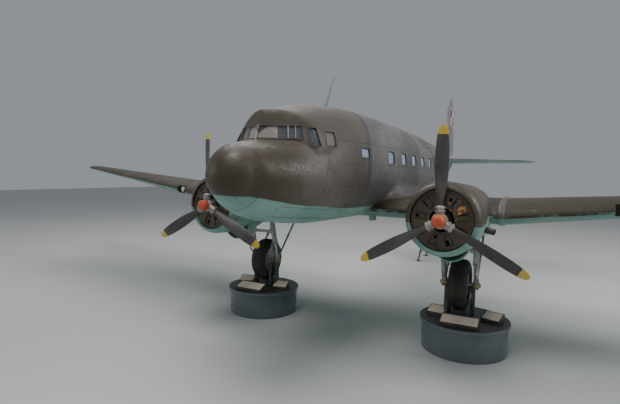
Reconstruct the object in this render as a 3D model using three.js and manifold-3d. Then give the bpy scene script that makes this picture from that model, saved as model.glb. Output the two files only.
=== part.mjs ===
// Military transport plane: low wing, two radial engines, tail-wheel gear, parked on round display plinths.
// Millimetres. X points to port, Y aft and Z up. The floor is Z = 0 and the middle of the box is X = Y = 0.
// A station is a distance aft of the nose tip; a height is measured from the propeller shafts' line.
import * as THREE from 'three';
import { mergeVertices } from 'three/addons/utils/BufferGeometryUtils.js';
import Module from 'manifold-3d';

const wasm = await Module();
wasm.setup();

// Driving dimensions
const LENGTH = 19650;
const HALF_SPAN = 14405;
const SHAFT_HEIGHT = 3360;
const PROP_STATION = 3050;
const ENGINE_X = 2820;
const COWL_RADIUS = 735;
const WALL = 70;
const SEAM = 0.3;
const RUNNING_GAP = 8;
const PIN_RADIUS = 12;
const PIN_PLAY = 0.5;
const PIN_SIDES = 8;
const PIN_DEPTH = 30;
const TYRE_GAP = 6;

// Fuselage sections
const NOSE_HEIGHT = 790;
const NOSE_ROUND = 350;
const NOSE_END = 460;
const COCKPIT_END = 3200;
const CABIN_END = 12600;
const CONE_END = 19100;
const RING_POINTS = 24;
const SECTION_POWER = 2.15;
const FUSELAGE = [
  // station, bottom, top, half width
  [350, 290, 1345, 510],
  [620, 140, 1395, 690],
  [950, 25, 1420, 840],
  [1300, -50, 1460, 965],
  [1900, -134, 1680, 1085],
  [2600, -200, 2130, 1115],
  [3200, -220, 2310, 1155],
  [4900, -245, 2375, 1235],
  [6900, -260, 2360, 1250],
  [8900, -245, 2320, 1225],
  [10900, -113, 2250, 1140],
  [12900, 154, 2150, 956],
  [14900, 503, 2040, 725],
  [16900, 900, 1920, 440],
  [18300, 1200, 1790, 230],
  [19100, 1400, 1700, 90],
];
// Cockpit hood: it rises out of the nose deck and its front is cut by the two windshield planes
const HOOD = [
  // station, top
  [900, 1900],
  [1500, 2020],
  [2200, 2180],
  [2800, 2270],
  [3200, 2309],
];
const WINDSHIELD = { station: 1040, height: 1395, sweep: 36, lean: 20, drop: -1 };
const PANE = { inner: 35, outer: 855, low: 45, high: 300, depth: 260 };
const SIDE_WINDOWS = [
  // stations of the front and rear edges at the sill, then at the top; sill; top; turn to the front
  [1550, 1734, 1633, 1791, 1320, 1675, 50],
  [1885, 2180, 1985, 2243, 1350, 1640, 12],
];
const CABIN_WINDOW = { first: 4990, pitch: 1014, count: 7, width: 430, height: 310, middle: 1245 };
const SMALL_WINDOW = { station: 3450, width: 400, height: 210, middle: 1290 };
const GLASS = 10;
const FLOOR_TOP = 470;
const FLOOR_THICK = 60;
const COCKPIT_FLOOR_TOP = 560;

// Doors: sill and head heights, stations of the edges
const DOOR_SILL = 500;
const DOOR_HEAD = 1950;
const CARGO_FRONT = [9750, 10763];
const CARGO_REAR = [10787, 11800];
const PASSENGER = [10600, 11340];
const FREE_GAP = 24;
const FREE_STEP = 22;

// Wing
const JOINT_X = 3730;
const WING_LE = 4780;
const ROOT_CHORD = 4320;
const WING_HEIGHT = 5;
const SWEEP = THREE.MathUtils.degToRad(15.5);
const DIHEDRAL = THREE.MathUtils.degToRad(5);
const INCIDENCE = THREE.MathUtils.degToRad(2);
const ROOT_THICKNESS = 0.14;
const TIP_THICKNESS = 0.09;
const TIP_ROUND = 1300;
const FOIL_POINTS = 7;
const AILERON = { inner: 8300, outer: 13300, chord: 560, endGap: 16 };
const FLAP = { chord: 760, lip: 150, thick: 20, gap: 6, pin: 9.6 };
const INNER_FLAP = [660, 2050];
const OUTER_FLAP = [3790, 8230];

// Tail
const STAB = { height: 1555, span: 4065, rootLe: 15880, tipLe: 17050, te: 18420 };
const ELEVATOR = { hinge: 17500, inner: 440, outer: 3900, slant: 0.26, rootGap: 36 };
const FIN = [
  // height, leading edge, trailing edge, thickness
  [1650, 15100, 19560, 230],
  [1950, 15700, 19620, 230],
  [2250, 16420, 19650, 225],
  [2800, 16930, 19640, 215],
  [3500, 17330, 19540, 185],
  [4100, 17690, 19330, 150],
  [4600, 18030, 19040, 105],
  [4840, 18330, 18760, 60],
];
const RUDDER = { hinge: 18250, bottom: 1905, top: 4640, pin: 24, reach: 180 };

// Main gear
const AXLE = { station: PROP_STATION + 2700, height: -1770, radius: 45 };
const TYRE = { radius: 600, width: 430, rim: 320 };
const LEG_X = 370;
const SLEEVE = 105;
const TAIL_AXLE = { station: 16950, height: 380, trail: 120 };
const TAIL_TYRE = { radius: 235, width: 170, rim: 120 };

// Display stands
const PLINTH = { radius: 1055, height: 760, lip: 80 };

const paint = (color, roughness = 0.7, metalness = 0.1) => (
  new THREE.MeshStandardMaterial({ color, roughness, metalness })
);
const MATERIAL = {
  brown: paint(0x57503f),
  turquoise: paint(0x9fc4bb),
  cowl: paint(0x5b5547),
  disc: paint(0x6d6555, 0.75),
  engine: paint(0x3a3b3c, 0.6, 0.5),
  blade: paint(0x3d4146, 0.5, 0.3),
  dome: paint(0xd8532e, 0.5),
  steel: paint(0x8a8f90, 0.4, 0.7),
  alloy: paint(0xa9aca8, 0.45, 0.6),
  tyre: paint(0x26272a, 0.9, 0),
  glass: paint(0x8fa3ad, 0.1, 0),
  cabin: paint(0x8c9a8c, 0.8, 0),
  seat: paint(0x4d4a3c, 0.9, 0),
  plinth: paint(0x3b4a50, 0.6, 0),
  black: paint(0x1d1f21, 0.6, 0.2),
};

const group = new THREE.Group();

// Places
const yOf = (station) => station - LENGTH / 2;
const zOf = (height) => SHAFT_HEIGHT + height;
const spot = (x, station, height) => new THREE.Vector3(x, yOf(station), zOf(height));

// Solids
function solid(geometry) {
  const bare = geometry.clone();
  for (const name of Object.keys(bare.attributes)) {
    if (name !== 'position') bare.deleteAttribute(name);
  }
  const merged = mergeVertices(bare, 1e-3);
  const index = merged.index.array;
  const faces = [];
  for (let i = 0; i < index.length; i += 3) {
    const [a, b, c] = [index[i], index[i + 1], index[i + 2]];
    if (a !== b && b !== c && c !== a) faces.push(a, b, c);
  }
  return new wasm.Manifold(new wasm.Mesh({
    numProp: 3,
    vertProperties: new Float32Array(merged.attributes.position.array),
    triVerts: new Uint32Array(faces),
  }));
}

function geometryOf(body) {
  const { vertProperties, triVerts, numProp } = body.getMesh();
  const geometry = new THREE.BufferGeometry();
  const position = new Float32Array((vertProperties.length / numProp) * 3);
  for (let i = 0; i < position.length / 3; i += 1) {
    for (let k = 0; k < 3; k += 1) position[3 * i + k] = vertProperties[numProp * i + k];
  }
  geometry.setAttribute('position', new THREE.BufferAttribute(position, 3));
  geometry.setIndex(new THREE.BufferAttribute(new Uint32Array(triVerts), 1));
  return geometry;
}

function add(name, body, material) {
  const mesh = new THREE.Mesh(geometryOf(body), MATERIAL[material]);
  mesh.geometry.computeVertexNormals();
  mesh.name = name;
  group.add(mesh);
}

const join = (bodies) => bodies.reduce((whole, body) => whole.add(body));
const cut = (body, ...tools) => tools.reduce((rest, tool) => rest.subtract(tool), body);

function mirrored(body) {
  const geometry = geometryOf(body);
  geometry.scale(-1, 1, 1);
  const index = geometry.index.array;
  for (let i = 0; i < index.length; i += 3) {
    [index[i], index[i + 1]] = [index[i + 1], index[i]];
  }
  return solid(geometry);
}

// A closed skin over a row of rings with the same number of points
function loft(rings) {
  const count = rings[0].length;
  const points = rings.flat();
  const faces = [];
  for (let i = 0; i + 1 < rings.length; i += 1) {
    for (let j = 0; j < count; j += 1) {
      const a = i * count + j;
      const b = i * count + ((j + 1) % count);
      const rising = points[a].distanceTo(points[b + count]) < points[b].distanceTo(points[a + count]);
      faces.push(...(rising
        ? [a, b, b + count, a, b + count, a + count]
        : [a, b, a + count, b, b + count, a + count]));
    }
  }
  for (const [ring, flip] of [[0, false], [rings.length - 1, true]]) {
    const middle = new THREE.Vector3();
    rings[ring].forEach((point) => middle.addScaledVector(point, 1 / count));
    points.push(middle);
    for (let j = 0; j < count; j += 1) {
      const a = ring * count + j;
      const b = ring * count + ((j + 1) % count);
      faces.push(...(flip ? [a, b, points.length - 1] : [b, a, points.length - 1]));
    }
  }
  let volume = 0;
  for (let i = 0; i < faces.length; i += 3) {
    const [a, b, c] = [points[faces[i]], points[faces[i + 1]], points[faces[i + 2]]];
    volume += a.dot(b.clone().cross(c));
  }
  if (volume < 0) {
    for (let i = 0; i < faces.length; i += 3) {
      [faces[i], faces[i + 1]] = [faces[i + 1], faces[i]];
    }
  }
  const geometry = new THREE.BufferGeometry().setFromPoints(points);
  geometry.setIndex(faces);
  return solid(geometry);
}

// A box between two corners given as x, station and height
function box(x0, x1, s0, s1, h0, h1) {
  const geometry = new THREE.BoxGeometry(x1 - x0, s1 - s0, h1 - h0);
  geometry.translate((x0 + x1) / 2, yOf((s0 + s1) / 2), zOf((h0 + h1) / 2));
  return solid(geometry);
}

function rod(from, to, radius, sides = 8, endRadius = radius) {
  const along = to.clone().sub(from);
  const geometry = new THREE.CylinderGeometry(endRadius, radius, along.length(), sides);
  geometry.translate(0, along.length() / 2, 0);
  const turn = new THREE.Quaternion().setFromUnitVectors(new THREE.Vector3(0, 1, 0), along.normalize());
  geometry.applyQuaternion(turn);
  geometry.translate(from.x, from.y, from.z);
  return solid(geometry);
}

// Radius of a hole with flat sides in which a pin of the given radius turns
const holeFor = (radius, sides = PIN_SIDES) => (radius + PIN_PLAY) / Math.cos(Math.PI / sides);

// Turned pieces: profile rows are a radius and a place along the axis, from the axis round to the axis,
// or round a ring
function turning(profile, sides) {
  const first = profile[0];
  const closed = first[0] > 0 ? [...profile, first] : profile;
  return new THREE.LatheGeometry(closed.map(([radius, along]) => new THREE.Vector2(radius, along)), sides);
}

// Turns the faces outward where the profile was listed the other way round
function facingOut(geometry) {
  const index = geometry.index.array;
  const position = geometry.attributes.position;
  const [a, b, c] = [new THREE.Vector3(), new THREE.Vector3(), new THREE.Vector3()];
  let volume = 0;
  for (let i = 0; i < index.length; i += 3) {
    a.fromBufferAttribute(position, index[i]);
    b.fromBufferAttribute(position, index[i + 1]);
    c.fromBufferAttribute(position, index[i + 2]);
    volume += a.dot(b.cross(c));
  }
  for (let i = 0; volume < 0 && i < index.length; i += 3) {
    [index[i], index[i + 1]] = [index[i + 1], index[i]];
  }
  return solid(geometry);
}

// About a fore-and-aft axis: places are stations
function turned(profile, x, height, sides = 48) {
  const geometry = turning(profile.map(([radius, station]) => [radius, yOf(station)]), sides);
  geometry.translate(x, 0, zOf(height));
  return facingOut(geometry);
}

// About an axis across the plane: places are distances to port
function turnedAcross(profile, x, station, height, sides = 48) {
  const geometry = turning(profile, sides);
  geometry.rotateZ(-Math.PI / 2);
  geometry.translate(x, yOf(station), zOf(height));
  return facingOut(geometry);
}

// About an upright axis: places are heights above the floor
function turnedUpright(profile, x, station, sides = 48) {
  const geometry = turning(profile, sides);
  geometry.rotateX(Math.PI / 2);
  geometry.translate(x, yOf(station), 0);
  return facingOut(geometry);
}

// Smooth reading of a table whose first column grows
function read(table, key) {
  let i = 0;
  while (i < table.length - 2 && key > table[i + 1][0]) i += 1;
  const [before, from, to, after] = [table[Math.max(i - 1, 0)], table[i], table[i + 1],
    table[Math.min(i + 2, table.length - 1)]];
  const span = to[0] - from[0];
  const t = THREE.MathUtils.clamp((key - from[0]) / span, 0, 1);
  return from.slice(1).map((value, k) => {
    const slopeFrom = (to[k + 1] - before[k + 1]) / (to[0] - before[0]) * span;
    const slopeTo = (after[k + 1] - from[k + 1]) / (after[0] - from[0]) * span;
    const rise = to[k + 1] - value;
    return value + slopeFrom * t + (3 * rise - 2 * slopeFrom - slopeTo) * t * t
      + (slopeFrom + slopeTo - 2 * rise) * t * t * t;
  });
}

const even = (from, to, steps) => (
  Array.from({ length: steps + 1 }, (_, i) => from + ((to - from) * i) / steps)
);

// Fuselage: rings at fixed frames, with straight skin between them
const FRAMES = [
  ...even(0, 1, 5).map((t) => Math.max(t * t * NOSE_ROUND, 2)),
  NOSE_END, 700, 950, 1300, 1600, 1900, 2350, 2800, COCKPIT_END,
  4200, 5600, 7600, 9300, 10400, 11500, 12600,
  13900, 15200, 16500, 17600, CONE_END,
];

function frameRing(station, inset, hooded) {
  const [bottom, top, half] = read(FUSELAGE, Math.max(station, NOSE_ROUND));
  const short = 1 - Math.min(station, NOSE_ROUND) / NOSE_ROUND;
  const round = Math.sqrt(1 - short * short);
  const roof = hooded ? read(HOOD, station)[0] : top;
  const low = NOSE_HEIGHT + (bottom - NOSE_HEIGHT) * round + inset;
  const high = NOSE_HEIGHT + (roof - NOSE_HEIGHT) * round - inset;
  const middle = NOSE_HEIGHT + ((bottom + top) / 2 - NOSE_HEIGHT) * round;
  return Array.from({ length: RING_POINTS }, (_, i) => {
    const turn = (2 * Math.PI * i) / RING_POINTS;
    const [c, s] = [Math.cos(turn), Math.sin(turn)];
    const across = Math.sign(c) * Math.abs(c) ** (2 / SECTION_POWER) * (half * round - inset);
    const up = Math.abs(s) ** (2 / SECTION_POWER);
    return spot(across, station, s > 0 ? middle + (high - middle) * up : middle - (middle - low) * up);
  });
}

function skinRing(station, inset, hooded) {
  let i = 0;
  while (i < FRAMES.length - 2 && station > FRAMES[i + 1]) i += 1;
  const share = (station - FRAMES[i]) / (FRAMES[i + 1] - FRAMES[i]);
  const rear = frameRing(FRAMES[i + 1], inset, hooded);
  return frameRing(FRAMES[i], inset, hooded).map((point, k) => point.lerp(rear[k], share));
}

function tube(from, to, inset, hooded = false) {
  const stations = [from, ...FRAMES.filter((frame) => frame > from && frame < to), to];
  return loft(stations.map((station) => skinRing(station, inset, hooded)));
}

// The windshield plane to port, as a block of air in front of it
const lean = THREE.MathUtils.degToRad(WINDSHIELD.lean);
const sweep = THREE.MathUtils.degToRad(WINDSHIELD.sweep);
const drop = THREE.MathUtils.degToRad(WINDSHIELD.drop);
const paneAcross = new THREE.Vector3(Math.cos(sweep), Math.sin(sweep), -Math.sin(drop)).normalize();
const paneRise = new THREE.Vector3(0, Math.tan(lean), 1);
const paneAhead = paneAcross.clone().cross(paneRise).normalize();
if (paneAhead.y > 0) paneAhead.negate();
const paneUp = paneAhead.clone().cross(paneAcross).normalize();
if (paneUp.z < 0) paneUp.negate();

function paneBlock(across, up, ahead) {
  const middle = (range) => (range[0] + range[1]) / 2;
  const size = (range) => range[1] - range[0];
  const geometry = new THREE.BoxGeometry(size(across), size(up), size(ahead));
  const basis = new THREE.Matrix4().makeBasis(paneAcross, paneUp, paneAcross.clone().cross(paneUp));
  const sign = paneAcross.clone().cross(paneUp).dot(paneAhead) > 0 ? 1 : -1;
  geometry.translate(middle(across), middle(up), sign * middle(ahead));
  geometry.applyMatrix4(basis);
  const foot = spot(0, WINDSHIELD.station, WINDSHIELD.height);
  geometry.translate(foot.x, foot.y, foot.z);
  return solid(geometry);
}

const slice = (from, to) => box(-1500, 1500, from, to, -1000, 3000);

// The same frames are used at every inset, so that skin, glass and floor meet without a step
function cockpitVolume(inset, from = NOSE_END, to = COCKPIT_END) {
  const air = paneBlock([-600, 2500], [-1500, 1500], [-inset, 1500 - inset]);
  const hood = cut(tube(HOOD[0][0], 4200, inset, true), air, mirrored(air));
  return tube(NOSE_ROUND, 4200, inset).add(hood).intersect(slice(from, to));
}

const cabinVolume = (inset, from, to) => tube(2800, 13900, inset).intersect(slice(from, to));

const pane = paneBlock([PANE.inner, PANE.outer], [PANE.low, PANE.high], [-PANE.depth, PANE.depth]);

// Half breadth of the hooded body at a station and height
function sideAt(station, height) {
  const [bottom, top, half] = read(FUSELAGE, station);
  const middle = (bottom + top) / 2;
  const up = (height - middle) / (read(HOOD, station)[0] - middle);
  return half * (1 - up ** SECTION_POWER) ** (1 / SECTION_POWER);
}

function sideWindow([frontSill, rearSill, frontTop, rearTop, sill, top, turn]) {
  const angle = THREE.MathUtils.degToRad(turn);
  const corners = [[frontSill, sill], [rearSill, sill], [rearTop, top], [frontTop, top]];
  return loft([-PANE.depth, PANE.depth].map((out) => corners.map(([station, height]) => (
    spot(sideAt(station, height) + out * Math.cos(angle), station - out * Math.sin(angle), height)
  ))));
}

const sideHoles = SIDE_WINDOWS.map(sideWindow);
const cockpitHoles = join([pane, ...sideHoles]);
const cockpit = cut(
  cockpitVolume(0, NOSE_END + SEAM, COCKPIT_END - SEAM),
  cockpitVolume(WALL, NOSE_END - 10, COCKPIT_END + 10),
  cockpitHoles,
  mirrored(cockpitHoles),
);
add('cockpit_section', cockpit, 'brown');
add('nose_cap', tube(FRAMES[0], NOSE_END, 0), 'brown');

const glassBand = cut(
  cockpitVolume(WALL + SEAM, NOSE_END + 60, COCKPIT_END - 320),
  cockpitVolume(WALL + GLASS, NOSE_END, COCKPIT_END),
);
add('cockpit_glazing', glassBand.intersect(box(-1300, 1300, 1000, 2400, 1250, 1780)), 'glass');

// Wing sections
function thicknessAt(chordPart, part) {
  const x = chordPart;
  return 5 * part * (0.2969 * Math.sqrt(x) - 0.126 * x - 0.3516 * x * x + 0.2843 * x ** 3 - 0.1015 * x ** 4);
}

function camberAt(x, camber) {
  const peak = 0.4;
  return x < peak
    ? (camber / peak ** 2) * (2 * peak * x - x * x)
    : (camber / (1 - peak) ** 2) * (1 - 2 * peak + 2 * peak * x - x * x);
}

const chordParts = even(0, Math.PI, FOIL_POINTS).map((turn) => (1 - Math.cos(turn)) / 2);
const behindLe = chordParts.slice(1);
const FOIL = [[0, 0], ...behindLe.map((x) => [x, 1]), ...behindLe.reverse().map((x) => [x, -1])];

function wingPlan(x) {
  const out = Math.max(x - JOINT_X, 0);
  const share = out / (HALF_SPAN - JOINT_X);
  const fromTip = THREE.MathUtils.clamp((x - (HALF_SPAN - TIP_ROUND)) / TIP_ROUND, 0, 1);
  const round = Math.sqrt(Math.max(1 - fromTip ** 2, 0.0016));
  const le = WING_LE + out * Math.tan(SWEEP);
  const te = WING_LE + ROOT_CHORD;
  const middle = le * 0.45 + te * 0.55;
  return {
    le: middle - (middle - le) * round,
    te: middle + (te - middle) * round,
    height: WING_HEIGHT + out * Math.tan(DIHEDRAL),
    part: THREE.MathUtils.lerp(ROOT_THICKNESS, TIP_THICKNESS, share),
    nominalLe: le,
  };
}

function wingPoint(x, chordPart, side, grow = 0) {
  const { le, te, height, part, nominalLe } = wingPlan(x);
  const chord = te - le + 2 * grow;
  const bend = camberAt(chordPart, 0.02) * chord;
  const half = Math.max(thicknessAt(chordPart, part) * chord, 4) + grow;
  const along = le - grow + chordPart * chord;
  const fall = Math.sin(INCIDENCE) * (along - nominalLe);
  return spot(x, along, height + bend + side * half - fall);
}

const wingRing = (x, grow) => FOIL.map(([part, side]) => wingPoint(x, part, side, grow));
const wingLoft = (stations, grow = 0) => loft(stations.map((x) => wingRing(x, grow)));

// Places on the wing at a given station
const partAt = (x, station) => (station - wingPlan(x).le) / (wingPlan(x).te - wingPlan(x).le);
const lowerAt = (x, station) => wingPoint(x, partAt(x, station), -1);
const upperAt = (x, station) => wingPoint(x, partAt(x, station), 1);

const TE = WING_LE + ROOT_CHORD;

// Split flaps: a flush plate of the lower skin, hinged along its front edge
function flapBlock(x0, x1, room) {
  const ring = (x, station0, station1) => {
    const front = lowerAt(x, station0);
    const rear = lowerAt(x, station1);
    const lift = FLAP.thick + room;
    return [
      front.clone().add(new THREE.Vector3(0, 0, lift)),
      rear.clone().add(new THREE.Vector3(0, 0, lift)),
      rear.clone().add(new THREE.Vector3(0, 0, -200)),
      front.clone().add(new THREE.Vector3(0, 0, -200)),
    ];
  };
  const [front, rear] = [TE - FLAP.chord - FLAP.lip - room, TE - FLAP.lip + room];
  return loft([ring(x0 - room, front, rear), ring(x1 + room, front, rear)]);
}

function flapPins(x0, x1, radius, reach) {
  const station = TE - FLAP.chord - FLAP.lip + PIN_RADIUS;
  const [a, b] = [lowerAt(x0, station), lowerAt(x1, station)];
  a.z += FLAP.thick / 2;
  b.z += FLAP.thick / 2;
  const along = b.clone().sub(a).normalize();
  return rod(a.clone().addScaledVector(along, -reach), b.clone().addScaledVector(along, reach), radius);
}

const flap = (wing, [x0, x1]) => (
  wing.intersect(flapBlock(x0, x1, 0)).add(flapPins(x0, x1, FLAP.pin, PIN_DEPTH))
);
const flapRoom = ([x0, x1]) => (
  flapBlock(x0, x1, FLAP.gap).add(flapPins(x0, x1, holeFor(FLAP.pin), PIN_DEPTH + SEAM))
);

const centreWing = wingLoft([-JOINT_X + SEAM, 0, JOINT_X - SEAM]);
const outerWing = wingLoft([JOINT_X + SEAM, 8300, 11000,
  ...even(0, 1, 5).map((t) => HALF_SPAN - TIP_ROUND + TIP_ROUND * Math.sin((t * Math.PI) / 2))]);

const aileronHinge = TE - AILERON.chord;
function aileronEnd(x) {
  const [upper, lower] = [upperAt(x, aileronHinge), lowerAt(x, aileronHinge)];
  return { middle: upper.clone().add(lower).multiplyScalar(0.5), half: (upper.z - lower.z) / 2 };
}

const aileronIn = aileronEnd(AILERON.inner);
const aileronOut = aileronEnd(AILERON.outer);
const aileronLine = aileronOut.middle.clone().sub(aileronIn.middle).normalize();
const aileronBlock = (room) => {
  const ring = (end, x, extra) => {
    const ahead = room > 0 ? end.half + room : 0;
    const y = end.middle.y - ahead;
    return [
      new THREE.Vector3(x + extra, y, end.middle.z - 400),
      new THREE.Vector3(x + extra, y, end.middle.z + 400),
      new THREE.Vector3(x + extra, y + 1500, end.middle.z + 400),
      new THREE.Vector3(x + extra, y + 1500, end.middle.z - 400),
    ];
  };
  const end = room > 0 ? AILERON.endGap : 0;
  return loft([ring(aileronIn, AILERON.inner, -end), ring(aileronOut, AILERON.outer, end)]);
};
const aileronPin = (radius, reach) => rod(
  aileronIn.middle.clone().addScaledVector(aileronLine, -reach),
  aileronOut.middle.clone().addScaledVector(aileronLine, reach),
  radius,
);
const aileron = outerWing.intersect(aileronBlock(0))
  .add(rod(aileronIn.middle, aileronOut.middle, aileronIn.half, 20, aileronOut.half)
    .intersect(box(AILERON.inner, AILERON.outer, aileronHinge - 400, aileronHinge + 200, -2000, 4000)))
  .add(aileronPin(PIN_RADIUS, AILERON.endGap + PIN_DEPTH));

// Landing light: a lamp in a recess of the leading edge
const LIGHT = { x: 6020, half: 200, depth: 200, lamp: 75 };
const lightStation = wingPlan(LIGHT.x).le + LIGHT.depth;
const lightMiddle = wingPoint(LIGHT.x, 0, 1).z - SHAFT_HEIGHT;
const lightRecess = box(LIGHT.x - LIGHT.half, LIGHT.x + LIGHT.half, lightStation - 400, lightStation,
  lightMiddle - 110, lightMiddle + 130);
const lamp = rod(spot(LIGHT.x, lightStation + 5, lightMiddle), spot(LIGHT.x, lightStation - 70, lightMiddle),
  LIGHT.lamp, 16);
const outerPanel = cut(
  cut(outerWing, lightRecess).add(lamp),
  aileronBlock(RUNNING_GAP),
  aileronPin(holeFor(PIN_RADIUS), AILERON.endGap + PIN_DEPTH + SEAM),
  flapRoom(OUTER_FLAP),
);
const outerFlap = flap(outerWing, OUTER_FLAP);
const innerFlap = flap(centreWing, INNER_FLAP);
const innerFlapRoom = flapRoom(INNER_FLAP);

// Fuselage cabin and tail cone, opened for the wing and the tailplane
const wingAir = wingLoft([-JOINT_X, 0, JOINT_X], 2 * SEAM);
let cabinWall = cut(
  cabinVolume(0, COCKPIT_END + SEAM, CABIN_END - SEAM),
  cabinVolume(WALL, COCKPIT_END - 50, CABIN_END + 50),
);
const windowHole = (station, width, height, middle) => box(
  1000, 1400, station - width / 2, station + width / 2, middle - height / 2, middle + height / 2,
);
const windows = join([
  windowHole(SMALL_WINDOW.station, SMALL_WINDOW.width, SMALL_WINDOW.height, SMALL_WINDOW.middle),
  ...even(0, CABIN_WINDOW.count - 1, CABIN_WINDOW.count - 1).map((i) => (
    windowHole(CABIN_WINDOW.first + i * CABIN_WINDOW.pitch, CABIN_WINDOW.width, CABIN_WINDOW.height,
      CABIN_WINDOW.middle)
  )),
]);

// Doors: slabs of the wall, hinged at one upright edge on the outer skin
const doorSlab = (side, front, rear, room) => box(
  side > 0 ? 300 : -1400, side > 0 ? 1400 : -300, front, rear, DOOR_SILL - room, DOOR_HEAD + room,
);

// Upright hinge at a door's edge: knuckles of the door turn in a trough, between knuckles of the wall
const HINGE = { knuckle: 26, trough: 34, inset: 24, long: 90, short: 60, heights: [740, 1300] };
function doorHinge(side, station) {
  const x = side * (read(FUSELAGE, station)[2] - HINGE.inset);
  const post = (radius, from, to) => rod(spot(x, station, from), spot(x, station, to), radius);
  const tops = HINGE.heights.map((height) => height + HINGE.long);
  const ends = [DOOR_SILL - RUNNING_GAP, ...tops.flatMap((top) => [top + PIN_PLAY / 2, top + HINGE.short]),
    DOOR_HEAD + RUNNING_GAP];
  return {
    doorKnuckles: HINGE.heights.map((height) => post(HINGE.knuckle, height, height + HINGE.long)),
    wallKnuckles: tops.map((top) => post(HINGE.knuckle, top + PIN_PLAY, top + HINGE.short + 20)),
    troughs: [0, 2, 4].map((i) => post(HINGE.trough, ends[i], ends[i + 1])),
    notches: tops.map((top) => post(HINGE.trough, top, top + HINGE.short + 20 + RUNNING_GAP)),
  };
}

const doors = [
  // name, side, front and rear edges, whether the hinge is at the front edge
  ['cargo_door_front', 1, CARGO_FRONT, true],
  ['cargo_door_rear', 1, CARGO_REAR, false],
  ['passenger_door', -1, PASSENGER, true],
];
const hingeStation = ([front, rear], atFront) => (
  atFront ? front - RUNNING_GAP / 2 : rear + RUNNING_GAP / 2
);
const bareWall = cabinWall;
const innerHalf = cabinVolume(WALL / 2, COCKPIT_END - 40, CABIN_END + 40);
for (const [name, side, [front, rear], atFront] of doors) {
  const hinge = doorHinge(side, hingeStation([front, rear], atFront));
  // The free edge is stepped: the inner half of the wall stops short, so that the curved leaf swings clear
  const edge = atFront ? [rear - FREE_STEP, rear + 1] : [front - 1, front + FREE_STEP];
  const step = doorSlab(side, ...edge, 0);
  const slab = bareWall.intersect(doorSlab(side, front, rear, 0));
  const leaf = cut(slab, step.intersect(innerHalf), ...hinge.notches);
  add(name, join([leaf, ...hinge.doorKnuckles]), 'brown');
  const gaps = atFront ? [RUNNING_GAP, FREE_GAP] : [FREE_GAP, RUNNING_GAP];
  cabinWall = cut(cabinWall, doorSlab(side, front - gaps[0], rear + gaps[1], RUNNING_GAP), ...hinge.troughs);
  cabinWall = join([cabinWall, ...hinge.wallKnuckles]);
}
cabinWall = cut(cabinWall, windows, mirrored(windows), wingAir);
add('cabin_section', cabinWall, 'brown');

const cabinRoom = cabinVolume(WALL + SEAM, COCKPIT_END + 1, CABIN_END - 1);
add('cabin_floor', cabinRoom.intersect(
  box(-1300, 1300, COCKPIT_END + 60, CABIN_END - 1, FLOOR_TOP - FLOOR_THICK, FLOOR_TOP),
), 'cabin');
const doorway = box(-320, 320, COCKPIT_END - 100, COCKPIT_END + 200, COCKPIT_FLOOR_TOP, 2000);
const bulkhead = cut(cabinVolume(WALL + SEAM, COCKPIT_END + 1, COCKPIT_END + 50), doorway);
add('front_bulkhead', bulkhead, 'cabin');
const glassSkin = cut(
  cabinVolume(WALL + SEAM, COCKPIT_END + 60, CABIN_END - 900),
  cabinVolume(WALL + GLASS, COCKPIT_END, CABIN_END),
);
const glassFrom = COCKPIT_END + 100;
const glassTo = CARGO_FRONT[0] - 40;
const portGlass = glassSkin.intersect(box(700, 1400, glassFrom, glassTo, 950, 1560));
add('cabin_glazing_port', portGlass, 'glass');
add('cabin_glazing_starboard', mirrored(portGlass), 'glass');

add('wing_centre', cut(centreWing, innerFlapRoom, mirrored(innerFlapRoom)), 'turquoise');
add('wing_port', outerPanel, 'brown');
add('wing_starboard', mirrored(outerPanel), 'brown');
add('aileron_port', aileron, 'brown');
add('aileron_starboard', mirrored(aileron), 'brown');
add('inner_flap_port', innerFlap, 'turquoise');
add('inner_flap_starboard', mirrored(innerFlap), 'turquoise');
add('outer_flap_port', outerFlap, 'turquoise');
add('outer_flap_starboard', mirrored(outerFlap), 'turquoise');

// Tail cone, tailplane and fin
const stabPlan = (x) => {
  const out = Math.abs(x) / STAB.span;
  const round = Math.sqrt(Math.max(1 - Math.max((out - 0.86) / 0.14, 0) ** 2, 0.003));
  const le = STAB.rootLe + (STAB.tipLe - STAB.rootLe) * out;
  const middle = (le + STAB.te) / 2;
  return {
    le: middle - (middle - le) * round,
    te: middle + (STAB.te - middle) * round,
    part: 0.105 - 0.02 * out,
  };
};
function stabRing(x) {
  const { le, te, part } = stabPlan(x);
  const chord = te - le;
  return FOIL.map(([along, side]) => {
    const half = Math.max(thicknessAt(along, part) * chord, 4);
    return spot(x, le + along * chord, STAB.height + side * half);
  });
}
const stabSide = even(0, 1, 4).map((t) => STAB.span * (0.86 + 0.14 * Math.sin((t * Math.PI) / 2)));
const stabHalf = loft([0, ...stabSide].map(stabRing));

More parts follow.
